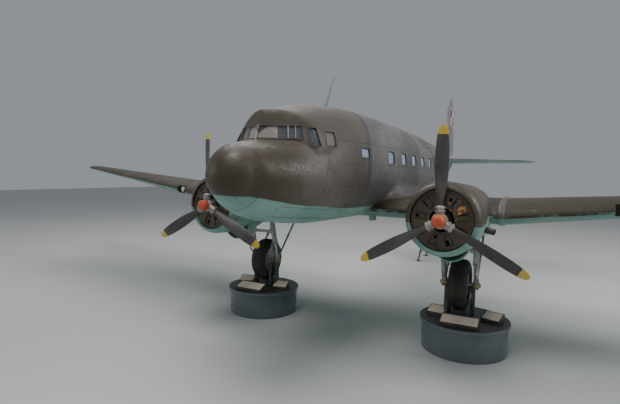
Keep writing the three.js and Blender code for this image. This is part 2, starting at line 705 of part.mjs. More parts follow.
const elevatorHalf = (x) => {
  const { le, te, part } = stabPlan(x);
  return thicknessAt((ELEVATOR.hinge - le) / (te - le), part) * (te - le);
};
const elevatorShape = (room) => {
  const front = ELEVATOR.hinge - (room > 0 ? elevatorHalf(ELEVATOR.inner) + room : 0);
  const rear = STAB.te + 100;
  const rootGap = room > 0 ? ELEVATOR.rootGap : 0;
  const inner = (station) => ELEVATOR.inner + ELEVATOR.slant * (station - ELEVATOR.hinge) - rootGap;
  return loft([STAB.height - 200, STAB.height + 200].map((height) => [
    spot(inner(front), front, height), spot(ELEVATOR.outer + room, front, height),
    spot(ELEVATOR.outer + room, rear, height), spot(inner(rear), rear, height),
  ]));
};
const elevatorPin = (radius, reach) => rod(
  spot(ELEVATOR.inner - reach, ELEVATOR.hinge, STAB.height),
  spot(ELEVATOR.outer + reach, ELEVATOR.hinge, STAB.height), radius,
);
const elevatorNose = rod(
  spot(ELEVATOR.inner + 40, ELEVATOR.hinge, STAB.height), spot(ELEVATOR.outer, ELEVATOR.hinge, STAB.height),
  elevatorHalf(ELEVATOR.inner), 20, elevatorHalf(ELEVATOR.outer),
);
const elevator = join([stabHalf.intersect(elevatorShape(0)), elevatorNose,
  elevatorPin(PIN_RADIUS, ELEVATOR.rootGap + PIN_DEPTH)]);
const elevatorAir = elevatorShape(RUNNING_GAP)
  .add(elevatorPin(holeFor(PIN_RADIUS), ELEVATOR.rootGap + PIN_DEPTH + SEAM));
const coneAir = tube(CABIN_END, CONE_END, -SEAM);
const tailplane = cut(stabHalf, elevatorAir, coneAir);
add('tailplane_port', tailplane, 'brown');
add('tailplane_starboard', mirrored(tailplane), 'brown');
add('elevator_port', elevator, 'brown');
add('elevator_starboard', mirrored(elevator), 'brown');

function finRing([height, le, te, thick]) {
  const chord = te - le;
  return FOIL.map(([along, side]) => {
    const half = Math.max(thicknessAt(along, thick / chord) * chord, 4);
    return spot(side * half, le + along * chord, height);
  });
}
const finRows = even(0, 1, 7).map((t) => {
  const height = THREE.MathUtils.lerp(FIN[0][0], FIN[FIN.length - 1][0], t);
  return [height, ...read(FIN, height)];
});
const wholeFin = loft(finRows.map(finRing));
const finHalf = (height) => {
  const [le, te, thick] = read(FIN, height);
  return thicknessAt((RUDDER.hinge - le) / (te - le), thick / (te - le)) * (te - le);
};
const rudderAir = (ahead, bottom) => box(
  -400, 400, RUDDER.hinge - ahead, LENGTH + 200, bottom, FIN[FIN.length - 1][0] + 100,
);
const rudderPin = (radius, reach) => rod(
  spot(0, RUDDER.hinge, RUDDER.bottom - reach), spot(0, RUDDER.hinge, RUDDER.bottom + 100), radius,
);
const rudderNose = rod(
  spot(0, RUDDER.hinge, RUDDER.bottom), spot(0, RUDDER.hinge, RUDDER.top),
  finHalf(RUDDER.bottom), 20, finHalf(RUDDER.top),
);
const rudder = join([wholeFin.intersect(rudderAir(0, RUDDER.bottom)), rudderNose,
  rudderPin(RUDDER.pin, RUDDER.reach)]);
add('rudder', rudder, 'brown');
const cone = tube(CABIN_END, CONE_END, 0).intersect(slice(CABIN_END + SEAM, CONE_END + 1));
add('tail_cone', cut(cone, rudderPin(holeFor(RUDDER.pin), RUDDER.reach + SEAM)), 'brown');
const noseAir = rudderAir(finHalf(RUDDER.bottom) + RUNNING_GAP, FIN[0][0] - 100);
add('fin', cut(wholeFin, noseAir, coneAir), 'brown');

// Engines, nacelles and propellers; built to port, then mirrored
const COWL = { front: 130, rear: 1080, lip: 610, wall: 40, crown: 330 };
const cowlArc = even(0, 1, 4).map((t) => {
  const turn = (t * Math.PI) / 2;
  return [COWL.lip + (COWL_RADIUS - COWL.lip) * Math.sin(turn), PROP_STATION + COWL.front
    + (COWL.crown - COWL.front) * (1 - Math.cos(turn))];
});
const inside = COWL_RADIUS - COWL.wall;
const COWL_SIDES = 24;
const DISC_SIDES = 27;
const flats = (radius, sides) => radius * Math.cos(Math.PI / sides);
const cowl = turned([
  ...cowlArc,
  [COWL_RADIUS, PROP_STATION + 800],
  [COWL_RADIUS - 15, PROP_STATION + COWL.rear],
  [COWL_RADIUS - 35, PROP_STATION + COWL.rear],
  [inside, PROP_STATION + 800],
  [inside, PROP_STATION + COWL.crown + 40],
  [COWL.lip - 5, PROP_STATION + COWL.front + 60],
], ENGINE_X, 0, COWL_SIDES);
add('cowling_port', cowl, 'cowl');
add('cowling_starboard', mirrored(cowl), 'cowl');

const DISC = { radius: COWL.lip - 5, station: PROP_STATION + 190, thick: 30, hole: 170, slots: 9 };
const disc = turned([[DISC.hole, DISC.station], [585, DISC.station], [585, DISC.station + DISC.thick],
  [DISC.hole, DISC.station + DISC.thick]], ENGINE_X, 0, DISC_SIDES);
const slots = Array.from({ length: DISC.slots }, (_, i) => {
  const geometry = new THREE.CylinderGeometry(75, 48, 200, 4, 1, false, Math.PI / 4);
  geometry.scale(1, 1, 1.2);
  geometry.translate(0, 400, 0);
  geometry.rotateX(Math.PI / 2);
  geometry.rotateY((2 * Math.PI * i) / DISC.slots);
  geometry.translate(ENGINE_X, yOf(DISC.station), zOf(0));
  return solid(geometry);
});
add('shutter_disc_port', cut(disc, ...slots), 'disc');
add('shutter_disc_starboard', mirrored(cut(disc, ...slots)), 'disc');

const FIREWALL = PROP_STATION + 1020;
const shaftCase = flats(DISC.hole, DISC_SIDES) - SEAM;
const engineRadius = flats(inside, COWL_SIDES) - SEAM;
const SHAFT = { radius: 40, from: 40, nose: 96 };
const engine = turned([
  [0, PROP_STATION + SHAFT.from],
  [SHAFT.radius, PROP_STATION + SHAFT.from],
  [SHAFT.radius, PROP_STATION + SHAFT.nose],
  [110, PROP_STATION + SHAFT.nose],
  [shaftCase, PROP_STATION + 150],
  [shaftCase, DISC.station + DISC.thick + SEAM],
  [585, DISC.station + DISC.thick + SEAM],
  [engineRadius, PROP_STATION + COWL.crown + 60],
  [engineRadius, PROP_STATION + 800],
  [500, PROP_STATION + 850],
  [500, FIREWALL - SEAM],
  [0, FIREWALL - SEAM],
], ENGINE_X, 0, 20);
add('engine_port', engine, 'engine');
add('engine_starboard', mirrored(engine), 'engine');

const NACELLE = [
  // station, middle height, half width, half height
  [FIREWALL, 0, 655, 655],
  [PROP_STATION + 1500, -20, 690, 690],
  [PROP_STATION + 2300, -30, 690, 700],
  [PROP_STATION + 3300, -20, 600, 620],
  [PROP_STATION + 4400, 0, 470, 480],
  [PROP_STATION + 5400, 20, 300, 300],
  [PROP_STATION + 6300, 10, 110, 110],
];
const nacelleRing = (station, grow = 0) => {
  const [middle, half, tall] = read(NACELLE, station);
  return even(0, 17 / 18, 17).map((t) => {
    const turn = 2 * Math.PI * t;
    return spot(ENGINE_X + (half + grow) * Math.cos(turn), station, middle + (tall + grow) * Math.sin(turn));
  });
};
const nacelleSkin = (grow) => loft(even(FIREWALL, PROP_STATION + 6300, 7).map((s) => nacelleRing(s, grow)));
// Oil cooler scoop under the nacelle, open at the front
const SCOOP = { half: 400, front: 4380, rear: 4770, top: -470, low: -1000, wall: 30 };
const scoopRing = (half, station, low) => even(Math.PI, 2 * Math.PI, 10).map((turn) => (
  spot(ENGINE_X + half * Math.cos(turn), station, SCOOP.top - (low - SCOOP.top) * Math.sin(turn))
));
const scoop = loft([
  scoopRing(SCOOP.half, SCOOP.front, SCOOP.low),
  scoopRing(SCOOP.half - 20, SCOOP.front + 200, SCOOP.low + 10),
  scoopRing(SCOOP.half - 90, SCOOP.rear, SCOOP.low + 90),
]);
const scoopMouth = loft([
  scoopRing(SCOOP.half - SCOOP.wall, SCOOP.front - 5, SCOOP.low + SCOOP.wall),
  scoopRing(SCOOP.half - SCOOP.wall - 50, SCOOP.front + 260, SCOOP.low + SCOOP.wall + 40),
]);
const WELL = { front: PROP_STATION + 1750, rear: PROP_STATION + 3150, half: 460, roof: -330 };
const wheelWell = (less) => box(ENGINE_X - WELL.half + less, ENGINE_X + WELL.half - less, WELL.front + less,
  WELL.rear - less, -1200, WELL.roof - less);
const exhaust = (radius, from, to) => rod(
  spot(ENGINE_X + 600, PROP_STATION + from, -60), spot(ENGINE_X + 770, PROP_STATION + to, -90), radius, 16,
);
const pipe = cut(exhaust(95, 1250, 1560), exhaust(80, 1400, 1575));
const outerAir = wingLoft([JOINT_X, JOINT_X + 400], 2 * SEAM);
const scoopRoof = nacelleSkin(-SCOOP.wall);
const nacelleBody = join([nacelleSkin(0), scoop, pipe]);
const nacelle = cut(nacelleBody, cut(scoopMouth, scoopRoof), wheelWell(0), wingAir, outerAir);
const nacelleAir = cut(nacelleSkin(2 * SEAM), wheelWell(SEAM));
add('nacelle_port', nacelle, 'brown');
add('nacelle_starboard', mirrored(nacelle), 'brown');

const BLADE = [
  // radius, chord, thickness, pitch in degrees
  [150, 110, 110, 62],
  [330, 150, 90, 55],
  [600, 235, 60, 45],
  [900, 275, 44, 36],
  [1250, 265, 32, 28],
  [1550, 225, 23, 23],
  [1720, 165, 16, 21],
  [1785, 95, 12, 20],
  [1800, 30, 9, 20],
];
function blade(turn) {
  const rings = BLADE.map(([radius, chord, thick, pitch]) => {
    const angle = THREE.MathUtils.degToRad(pitch);
    return even(0, 5 / 6, 5).map((t) => {
      const around = 2 * Math.PI * t;
      const [u, v] = [(chord / 2) * Math.cos(around), (thick / 2) * Math.sin(around)];
      const point = new THREE.Vector3(
        u * Math.cos(angle) - v * Math.sin(angle),
        u * Math.sin(angle) + v * Math.cos(angle),
        radius,
      );
      point.applyAxisAngle(new THREE.Vector3(0, 1, 0), turn);
      return point.add(spot(ENGINE_X, PROP_STATION, 0));
    });
  });
  return loft(rings);
}
const HUB_FRONT = PROP_STATION - 90;
const hub = turned([[0, HUB_FRONT], [105, HUB_FRONT], [150, PROP_STATION - 50],
  [150, PROP_STATION + 50], [100, PROP_STATION + 90], [0, PROP_STATION + 90]], ENGINE_X, 0, 20);
const bore = rod(spot(ENGINE_X, PROP_STATION + SHAFT.from - SEAM, 0), spot(ENGINE_X, PROP_STATION + 100, 0),
  holeFor(SHAFT.radius, 20), 20);
const collars = [0, 1, 2].map((i) => {
  const away = new THREE.Vector3(0, 0, 1).applyAxisAngle(new THREE.Vector3(0, 1, 0), (2 * Math.PI * i) / 3);
  const middle = spot(ENGINE_X, PROP_STATION, 0);
  return rod(middle.clone(), middle.clone().addScaledVector(away, 290), 85, 12);
});
const blades = [0, 1, 2].map((i) => blade((2 * Math.PI * i) / 3));
const propeller = cut(join([hub, ...collars, ...blades]), bore);
const dome = turned([
  [0, HUB_FRONT - SEAM],
  [118, HUB_FRONT - SEAM],
  [118, PROP_STATION - 150],
  ...even(0.25, 1, 3).map((t) => [118 * Math.cos((t * Math.PI) / 2), PROP_STATION - 150
    - 100 * Math.sin((t * Math.PI) / 2)]),
], ENGINE_X, 0, 20);
add('propeller_port', propeller, 'blade');
add('propeller_starboard', mirrored(propeller), 'blade');
add('propeller_dome_port', dome, 'dome');
add('propeller_dome_starboard', mirrored(dome), 'dome');

// Main gear
const wheelSpot = (x, station = AXLE.station, height = AXLE.height) => spot(ENGINE_X + x, station, height);
const LEG_TOP = { station: PROP_STATION + 2300, height: WELL.roof + 30 };
const DRAG_TOP = { station: PROP_STATION + 3900, height: -480 };
const OLEO_HEIGHT = -1250;
const stationOn = (top, height) => (
  THREE.MathUtils.mapLinear(height, AXLE.height, top.height, AXLE.station, top.station)
);
const legAt = (height) => stationOn(LEG_TOP, height);
const dragAt = (height) => stationOn(DRAG_TOP, height);
const leg = (side) => join([
  rod(wheelSpot(side * LEG_X), wheelSpot(side * LEG_X, legAt(OLEO_HEIGHT), OLEO_HEIGHT), 52),
  rod(wheelSpot(side * LEG_X, legAt(OLEO_HEIGHT), OLEO_HEIGHT),
    wheelSpot(side * LEG_X, LEG_TOP.station, LEG_TOP.height), 72, 10),
  rod(wheelSpot(side * (LEG_X - 75)), wheelSpot(side * (LEG_X + 65)), SLEEVE, 12),
  rod(wheelSpot(side * LEG_X), wheelSpot(side * LEG_X, DRAG_TOP.station, DRAG_TOP.height), 34),
]);
const WHEEL_SIDES = 20;
const CROSS_TUBES = [
  // station, height, radius
  [legAt(-900), -900, 42],
  [legAt(-500), -500, 42],
  [dragAt(-700), -700, 30],
];
const gear = join([
  leg(-1),
  leg(1),
  rod(wheelSpot(-LEG_X), wheelSpot(LEG_X), AXLE.radius, 12),
  ...CROSS_TUBES.map(([station, height, radius]) => (
    rod(wheelSpot(-LEG_X, station, height), wheelSpot(LEG_X, station, height), radius)
  )),
]);
const gearLegs = cut(gear, nacelleAir);
add('main_gear_port', gearLegs, 'steel');
add('main_gear_starboard', mirrored(gearLegs), 'steel');

function tyreProfile(radius, width, rim) {
  const half = width / 2;
  const wall = radius - rim;
  return [
    [rim, -half * 0.62],
    [rim + wall * 0.4, -half],
    [rim + wall * 0.78, -half * 0.9],
    [radius - wall * 0.07, -half * 0.6],
    [radius, -half * 0.2],
    [radius, half * 0.2],
    [radius - wall * 0.07, half * 0.6],
    [rim + wall * 0.78, half * 0.9],
    [rim + wall * 0.4, half],
    [rim, half * 0.62],
  ];
}
function wheelProfile(rim, width, bore) {
  const half = (width / 2) * 0.66;
  return [
    [bore, -half * 0.9],
    [bore + 60, -half * 0.9],
    [rim * 0.86, -half * 0.4],
    [rim * 0.9, -half],
    [rim - SEAM, -half],
    [rim - SEAM, half],
    [rim * 0.9, half],
    [rim * 0.86, half * 0.4],
    [bore + 60, half * 0.9],
    [bore, half * 0.9],
  ];
}
for (const [side, name] of [[1, 'port'], [-1, 'starboard']]) {
  const x = side * ENGINE_X;
  const tyre = tyreProfile(TYRE.radius, TYRE.width, TYRE.rim);
  const wheel = wheelProfile(TYRE.rim, TYRE.width, holeFor(AXLE.radius, WHEEL_SIDES));
  add(`main_tyre_${name}`, turnedAcross(tyre, x, AXLE.station, AXLE.height, WHEEL_SIDES), 'tyre');
  add(`main_wheel_${name}`, turnedAcross(wheel, x, AXLE.station, AXLE.height, WHEEL_SIDES), 'alloy');
}

// Tail gear: a fixed leg, a swivelling fork and the wheel
const TAIL_GEAR = {
  crown: 255, leg: 55, stem: 28, stemTop: 155, arm: 24, spread: 120, bar: 32, axle: 20, sides: 10,
};
const TAIL_WHEEL_SIDES = 16;
const forkTop = TAIL_AXLE.height + TAIL_GEAR.crown;
const forkStation = TAIL_AXLE.station - TAIL_AXLE.trail;
const { sides: gearSides, spread } = TAIL_GEAR;
const upright = (radius, from, to) => (
  rod(spot(0, forkStation, forkTop + from), spot(0, forkStation, forkTop + to), radius, gearSides)
);
const crossBar = (station, height, radius) => (
  rod(spot(-spread - 30, station, height), spot(spread + 30, station, height), radius, gearSides)
);
const forkArm = (side) => rod(
  spot(side * spread, forkStation, forkTop),
  spot(side * spread, TAIL_AXLE.station, TAIL_AXLE.height), TAIL_GEAR.arm,
);
const stemHole = upright(holeFor(TAIL_GEAR.stem, gearSides), 25, TAIL_GEAR.stemTop + 1);
add('tail_leg', cut(upright(TAIL_GEAR.leg, 35, 515), stemHole, coneAir), 'steel');
add('tail_fork', join([
  upright(TAIL_GEAR.stem, 0, TAIL_GEAR.stemTop),
  upright(60, -20, 35 - SEAM),
  crossBar(forkStation, forkTop, TAIL_GEAR.bar),
  crossBar(TAIL_AXLE.station, TAIL_AXLE.height, TAIL_GEAR.axle),
  forkArm(-1),
  forkArm(1),
]), 'steel');
const tailTyre = tyreProfile(TAIL_TYRE.radius, TAIL_TYRE.width, TAIL_TYRE.rim);
const tailWheel = wheelProfile(TAIL_TYRE.rim, TAIL_TYRE.width, holeFor(TAIL_GEAR.axle, TAIL_WHEEL_SIDES));
const onTailAxle = (profile) => (
  turnedAcross(profile, 0, TAIL_AXLE.station, TAIL_AXLE.height, TAIL_WHEEL_SIDES)
);
add('tail_tyre', onTailAxle(tailTyre), 'tyre');
add('tail_wheel', onTailAxle(tailWheel), 'alloy');

// Cockpit inside
const PANEL = { station: 1500, thick: 60, half: 780, low: 1000, high: 1400 };
const COLUMN = { x: 450, foot: 1650, head: 1760, top: 1150, grip: 150 };
const floorPlate = cockpitVolume(WALL + SEAM, NOSE_END + 20, COCKPIT_END - SEAM).intersect(
  box(-1300, 1300, NOSE_END, COCKPIT_END, COCKPIT_FLOOR_TOP - 50, COCKPIT_FLOOR_TOP),
);
add('cockpit_floor', floorPlate, 'cabin');
const panelSlice = cockpitVolume(WALL + GLASS + 5, NOSE_END + 20, COCKPIT_END - SEAM).intersect(
  box(-PANEL.half, PANEL.half, PANEL.station, PANEL.station + PANEL.thick, PANEL.low, PANEL.high),
);
const column = (side) => join([
  rod(spot(side * COLUMN.x, COLUMN.foot, COCKPIT_FLOOR_TOP + 15),
    spot(side * COLUMN.x, COLUMN.head, COLUMN.top), 28),
  rod(spot(side * COLUMN.x - COLUMN.grip, COLUMN.head, COLUMN.top),
    spot(side * COLUMN.x + COLUMN.grip, COLUMN.head, COLUMN.top), 20),
  rod(spot(0, 1700, 900), spot(side * COLUMN.x, 1700, 900), 18),
]);
const pedestal = box(-140, 140, PANEL.station + 20, 1850, COCKPIT_FLOOR_TOP + SEAM, 1100);
add('instrument_panel', join([panelSlice, pedestal, column(-1), column(1)]), 'black');
const seat = join([
  box(230, 670, 2150, 2620, 850, 960),
  box(230, 670, 2560, 2670, 900, 1560),
  box(260, 640, 2200, 2600, COCKPIT_FLOOR_TOP + SEAM, 860),
]);
add('pilot_seat_port', seat, 'seat');
add('pilot_seat_starboard', mirrored(seat), 'seat');

// Roof mast
const MAST = { station: 3780, roof: 2350, rise: 750, rake: 450 };
const mastFoot = spot(0, MAST.station, MAST.roof - 60);
const mast = join([
  rod(mastFoot, spot(0, MAST.station + MAST.rake, MAST.roof + MAST.rise), 26, 10, 12),
  rod(mastFoot, spot(0, MAST.station, MAST.roof + 16), 70, 12),
]);
add('antenna_mast', cut(mast, cabinVolume(-SEAM, COCKPIT_END, CABIN_END)), 'steel');

// Display plinths with wheel cradles and blank sign boards, and the tail stand
const PLINTH_X = ENGINE_X + 120;
const PLINTH_STATION = AXLE.station + 40;
const BOARDS = [
  // outboard of the plinth's middle, aft of it, width, turn in degrees
  [0, -690, 860, 0],
  [-640, -60, 440, -12],
  [640, 40, 440, -18],
];
const BOARD = { depth: 330, front: 60, back: 190 };
function signBoard([out, aft, width, turn]) {
  const outline = [[-0.5, 0], [-0.5, BOARD.front], [0.5, BOARD.back], [0.5, 0]];
  const wedge = (x) => outline.map(([part, height]) => (
    new THREE.Vector3(x, part * BOARD.depth, height - 5)
      .applyAxisAngle(new THREE.Vector3(0, 0, 1), THREE.MathUtils.degToRad(turn))
      .add(new THREE.Vector3(PLINTH_X + out, yOf(PLINTH_STATION + aft), PLINTH.height))
  ));
  return loft([wedge(-width / 2), wedge(width / 2)]);
}
const plinthBody = turnedUpright([
  [0, 0],
  [PLINTH.radius - 60, 0],
  [PLINTH.radius - 40, PLINTH.height - PLINTH.lip],
  [PLINTH.radius, PLINTH.height - PLINTH.lip],
  [PLINTH.radius, PLINTH.height],
  [0, PLINTH.height],
], PLINTH_X, PLINTH_STATION, 32);
const deck = PLINTH.height - SHAFT_HEIGHT;
const CRADLE = { post: 262, thick: 20, near: 190, far: 250, base: 330, foot: 60 };
const tyreBottom = AXLE.height - TYRE.radius - TYRE_GAP;
const cradlePost = (side, end) => box(ENGINE_X + side * CRADLE.post - CRADLE.thick,
  ENGINE_X + side * CRADLE.post + CRADLE.thick, AXLE.station + (end > 0 ? CRADLE.near : -CRADLE.far),
  AXLE.station + (end > 0 ? CRADLE.far : -CRADLE.near), deck, AXLE.height - 60);
const cradle = join([
  box(ENGINE_X - CRADLE.base, ENGINE_X + CRADLE.base, AXLE.station - CRADLE.base, AXLE.station + CRADLE.base,
    deck - 10, deck + CRADLE.foot),
  box(ENGINE_X - 150, ENGINE_X + 150, AXLE.station - 200, AXLE.station + 200, deck, tyreBottom),
  ...[-1, 1].flatMap((side) => [cradlePost(side, -1), cradlePost(side, 1)]),
]);
// Two posts with saddles carry the axle's sleeves, so that the tyres hang just clear of the deck
const SADDLE = { x: LEG_X - 40, half: 28, reach: 55 };
const saddlePost = (side) => box(
  ENGINE_X + side * SADDLE.x - SADDLE.half, ENGINE_X + side * SADDLE.x + SADDLE.half,
  AXLE.station - SADDLE.reach, AXLE.station + SADDLE.reach, deck, AXLE.height - 50,
);
const sleeves = rod(wheelSpot(-LEG_X - 100), wheelSpot(LEG_X + 100), SLEEVE + SEAM, 12);
const saddles = cut(join([saddlePost(-1), saddlePost(1)]), sleeves);
const plinth = join([plinthBody, cradle, saddles, ...BOARDS.map(signBoard)]);
add('plinth_port', plinth, 'plinth');
add('plinth_starboard', mirrored(plinth), 'plinth');

const STAND = {
  half: 800, top: 380, topPart: 0.8, pad: 130, leg: 40, brace: 24, stay: 20, crossing: 0.62, low: 0.1,
};
const standTop = zOf(TAIL_AXLE.height - TAIL_TYRE.radius - TYRE_GAP);
const standY = yOf(TAIL_AXLE.station);
const corners = [[-1, -1], [1, -1], [1, 1], [-1, 1]];
// A place on the leg at a corner, at a part of its height
function onLeg([x, y], part) {
  const reach = THREE.MathUtils.lerp(STAND.half, STAND.top * STAND.topPart, part);
  return new THREE.Vector3(x * reach, standY + y * reach, THREE.MathUtils.lerp(20, standTop - 30, part));
}
const plate = (x, y, half, low, high) => box(
  x - half, x + half, y - half, y + half, low - SHAFT_HEIGHT, high - SHAFT_HEIGHT,
);
const stand = join([
  plate(0, TAIL_AXLE.station, STAND.top, standTop - 40, standTop),
  ...corners.flatMap((corner, i) => {
    const next = corners[(i + 1) % 4];
    const pad = [STAND.half * corner[0], TAIL_AXLE.station + STAND.half * corner[1]];
    return [
      plate(...pad, STAND.pad, 0, 25),
      rod(onLeg(corner, 0), onLeg(corner, 1), STAND.leg),
      rod(onLeg(corner, STAND.crossing), onLeg(next, STAND.crossing), STAND.brace, 6),
      rod(onLeg(corner, STAND.low), onLeg(next, STAND.crossing), STAND.stay, 6),
    ];
  }),
]);
// Props ahead of the wheel carry the tail cone in a saddle
const PROP = { foot: [250, 16600], head: [130, 16250], top: 720, radius: 30 };
const props = [-1, 1].map((side) => rod(
  spot(side * PROP.foot[0], PROP.foot[1], standTop - SHAFT_HEIGHT - 20),
  spot(side * PROP.head[0], PROP.head[1], PROP.top), PROP.radius,
));
const tailSaddle = box(-220, 220, PROP.head[1] - 70, PROP.head[1] + 70, PROP.top - 60, PROP.top + 160);
add('tail_stand', cut(join([stand, ...props, tailSaddle]), coneAir), 'plinth');

export default group;
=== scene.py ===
# Military transport plane on display plinths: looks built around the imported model.
import math
import bpy
import bmesh
from mathutils import Matrix, Vector


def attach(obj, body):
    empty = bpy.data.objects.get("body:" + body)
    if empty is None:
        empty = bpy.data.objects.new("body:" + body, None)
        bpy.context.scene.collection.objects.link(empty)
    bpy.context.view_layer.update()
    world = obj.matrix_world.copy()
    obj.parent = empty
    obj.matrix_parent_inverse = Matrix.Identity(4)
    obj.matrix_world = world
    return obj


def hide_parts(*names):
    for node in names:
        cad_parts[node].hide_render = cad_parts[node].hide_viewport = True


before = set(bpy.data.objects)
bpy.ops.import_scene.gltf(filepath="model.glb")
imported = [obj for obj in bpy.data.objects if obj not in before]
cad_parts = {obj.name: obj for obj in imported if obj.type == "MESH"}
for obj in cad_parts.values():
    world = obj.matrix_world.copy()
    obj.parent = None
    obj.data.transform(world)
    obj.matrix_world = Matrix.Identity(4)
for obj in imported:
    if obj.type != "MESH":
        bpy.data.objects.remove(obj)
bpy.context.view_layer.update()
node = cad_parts


# ---- Camera ----
# The place, turn and focal length come from a fit of the aircraft's known sizes to the photograph.
bpy.ops.object.camera_add(location=(4.546, -15.245, 4.2155))
camera = bpy.context.object
pitch, roll = math.radians(3.8), 0.0209
ahead = Vector((-0.4686 * math.cos(pitch), 0.8834 * math.cos(pitch), -math.sin(pitch))).normalized()
level = ahead.cross(Vector((0, 0, 1))).normalized()
upward = level.cross(ahead)
right = level * math.cos(roll) + upward * math.sin(roll)
turn = Matrix((right, -level * math.sin(roll) + upward * math.cos(roll), -ahead)).transposed()
camera.rotation_euler = turn.to_euler()
camera.data.sensor_width = 36
camera.data.lens = 25.73
camera.data.clip_end = 300
bpy.context.scene.camera = camera


# ---- Floor and light ----
# A plain pale hall floor, wide soft lamps over the nose, to starboard and behind, a weak low one to port ahead, and
# an even dim sky. None of them stands where the windshield would mirror it towards the camera.
bpy.ops.mesh.primitive_plane_add(size=160)
floor = bpy.context.object
floor.name = "floor"
floor_paint = bpy.data.materials.new("floor_paint")
floor_paint.use_nodes = True
floor_paint.node_tree.nodes["Principled BSDF"].inputs["Base Color"].default_value = (0.52, 0.52, 0.51, 1)
floor_paint.node_tree.nodes["Principled BSDF"].inputs["Roughness"].default_value = 0.75
floor.data.materials.append(floor_paint)

for name, place, aim, size, power in (
    ("nose_light", (1, -13, 23), (0, -4, 3), 11, 2300),
    ("side_light", (27, 3, 18), (0, -3, 3), 16, 4300),
    ("roof_light", (-9, 4, 23), (0, 0, 3), 18, 2500),
    ("low_light", (-26, -22, 9), (0, -5, 3), 13, 1000),
):
    bpy.ops.object.light_add(type="AREA", location=place)
    lamp = bpy.context.object
    lamp.name = name
    lamp.data.shape = "DISK"
    lamp.data.size = size
    lamp.data.energy = power
    lamp.rotation_euler = (Vector(aim) - Vector(place)).to_track_quat("-Z", "Y").to_euler()
sky = bpy.data.worlds.new("sky")
bpy.context.scene.world = sky
sky.use_nodes = True
sky.node_tree.nodes["Background"].inputs["Color"].default_value = (0.8, 0.85, 0.92, 1)
sky.node_tree.nodes["Background"].inputs["Strength"].default_value = 0.36


# ---- Fuselage ----
# A riveted light-alloy skin on frames: nose and cockpit, cabin, and tail cone. It is painted brown above
# and pale turquoise below, matt and weathered, and the windows and doors are cut from it.
LENGTH, SHAFT_HEIGHT, ENGINE_X, PROP_STATION = 19.65, 3.36, 2.82, 3.05
NOSE_HEIGHT, NOSE_ROUND, COCKPIT_END, CABIN_END, CONE_END = 0.79, 0.6, 3.2, 12.6, 19.1
WALL, SECTION_POWER, RING_POINTS = 0.07, 2.15, 96
FUSELAGE = (
    # station, bottom, top, half width
    (0.35, 0.24, 1.325, 0.525), (0.62, 0.14, 1.352, 0.655), (0.95, 0.025, 1.408, 0.825),
    (1.3, -0.05, 1.46, 0.965), (1.9, -0.134, 1.68, 1.085), (2.6, -0.2, 2.13, 1.115),
    (3.2, -0.22, 2.31, 1.155), (4.9, -0.245, 2.375, 1.235), (6.9, -0.26, 2.36, 1.25),
    (8.9, -0.245, 2.32, 1.225), (10.9, -0.113, 2.25, 1.14), (12.9, 0.154, 2.15, 0.956),
    (14.9, 0.503, 2.04, 0.725), (16.9, 0.9, 1.92, 0.44), (18.3, 1.2, 1.79, 0.23),
    (19.1, 1.4, 1.7, 0.09),
)
HOOD = ((0.9, 1.9), (1.5, 2.02), (2.2, 2.18), (2.8, 2.27), (3.2, 2.309))


def spot(x, station, height):
    return Vector((x, station - LENGTH / 2, SHAFT_HEIGHT + height))


def read(table, key):
    """Smooth reading of a table whose first column grows."""
    i = 0
    while i < len(table) - 2 and key > table[i + 1][0]:
        i += 1
    before, start, end = table[max(i - 1, 0)], table[i], table[i + 1]
    after = table[min(i + 2, len(table) - 1)]
    span = end[0] - start[0]
    t = min(max((key - start[0]) / span, 0), 1)
    values = []
    for k in range(1, len(start)):
        slope_in = (end[k] - before[k]) / (end[0] - before[0]) * span
        slope_out = (after[k] - start[k]) / (after[0] - start[0]) * span
        rise = end[k] - start[k]
        values.append(start[k] + slope_in * t + (3 * rise - 2 * slope_in - slope_out) * t * t
                      + (slope_in + slope_out - 2 * rise) * t ** 3)
    return values


def even(start, end, steps):
    return [start + (end - start) * i / steps for i in range(steps + 1)]


def skin_ring(station, inset=0.0):
    bottom, top, half = read(FUSELAGE, station)
    low, high, middle = bottom + inset, top - inset, (bottom + top) / 2
    ring = []
    for i in range(RING_POINTS):
        c, s = math.cos(math.tau * i / RING_POINTS), math.sin(math.tau * i / RING_POINTS)
        up = abs(s) ** (2 / SECTION_POWER)
        ring.append(spot(math.copysign(abs(c) ** (2 / SECTION_POWER), c) * (half - inset), station,
                         middle + (high - middle) * up if s > 0 else middle - (middle - low) * up))
    return ring


def linked(name, data):
    piece = bpy.data.objects.new(name, data)
    bpy.context.collection.objects.link(piece)
    return piece


def select(piece):
    bpy.ops.object.select_all(action="DESELECT")
    piece.select_set(True)
    bpy.context.view_layer.objects.active = piece


def mirrored(piece):
    piece.data.transform(Matrix.Diagonal((-1, 1, 1, 1)))
    piece.data.flip_normals()
    return piece


def loft(name, rings):
    """A closed skin over rings with the same number of points, with outward faces."""
    mesh = bpy.data.meshes.new(name)
    work = bmesh.new()
    rows = [[work.verts.new(point) for point in ring] for ring in rings]
    count = len(rings[0])
    for a, b in zip(rows, rows[1:]):
        for j in range(count):
            k = (j + 1) % count
            work.faces.new((a[j], a[k], b[k], b[j]))
    work.faces.new(rows[0])
    work.faces.new(rows[-1])
    bmesh.ops.recalc_face_normals(work, faces=work.faces)
    work.to_mesh(mesh)
    work.free()
    return linked(name, mesh)


def bevelled(piece, offset, chosen):
    """Rounds the edges of a piece whose direction passes a test."""
    work = bmesh.new()
    work.from_mesh(piece.data)
    edges = [e for e in work.edges if chosen(e.verts[0].co - e.verts[1].co)]
    bmesh.ops.bevel(work, geom=edges, offset=offset, segments=4, affect="EDGES", profile=0.5)
    work.to_mesh(piece.data)
    work.free()
    return piece


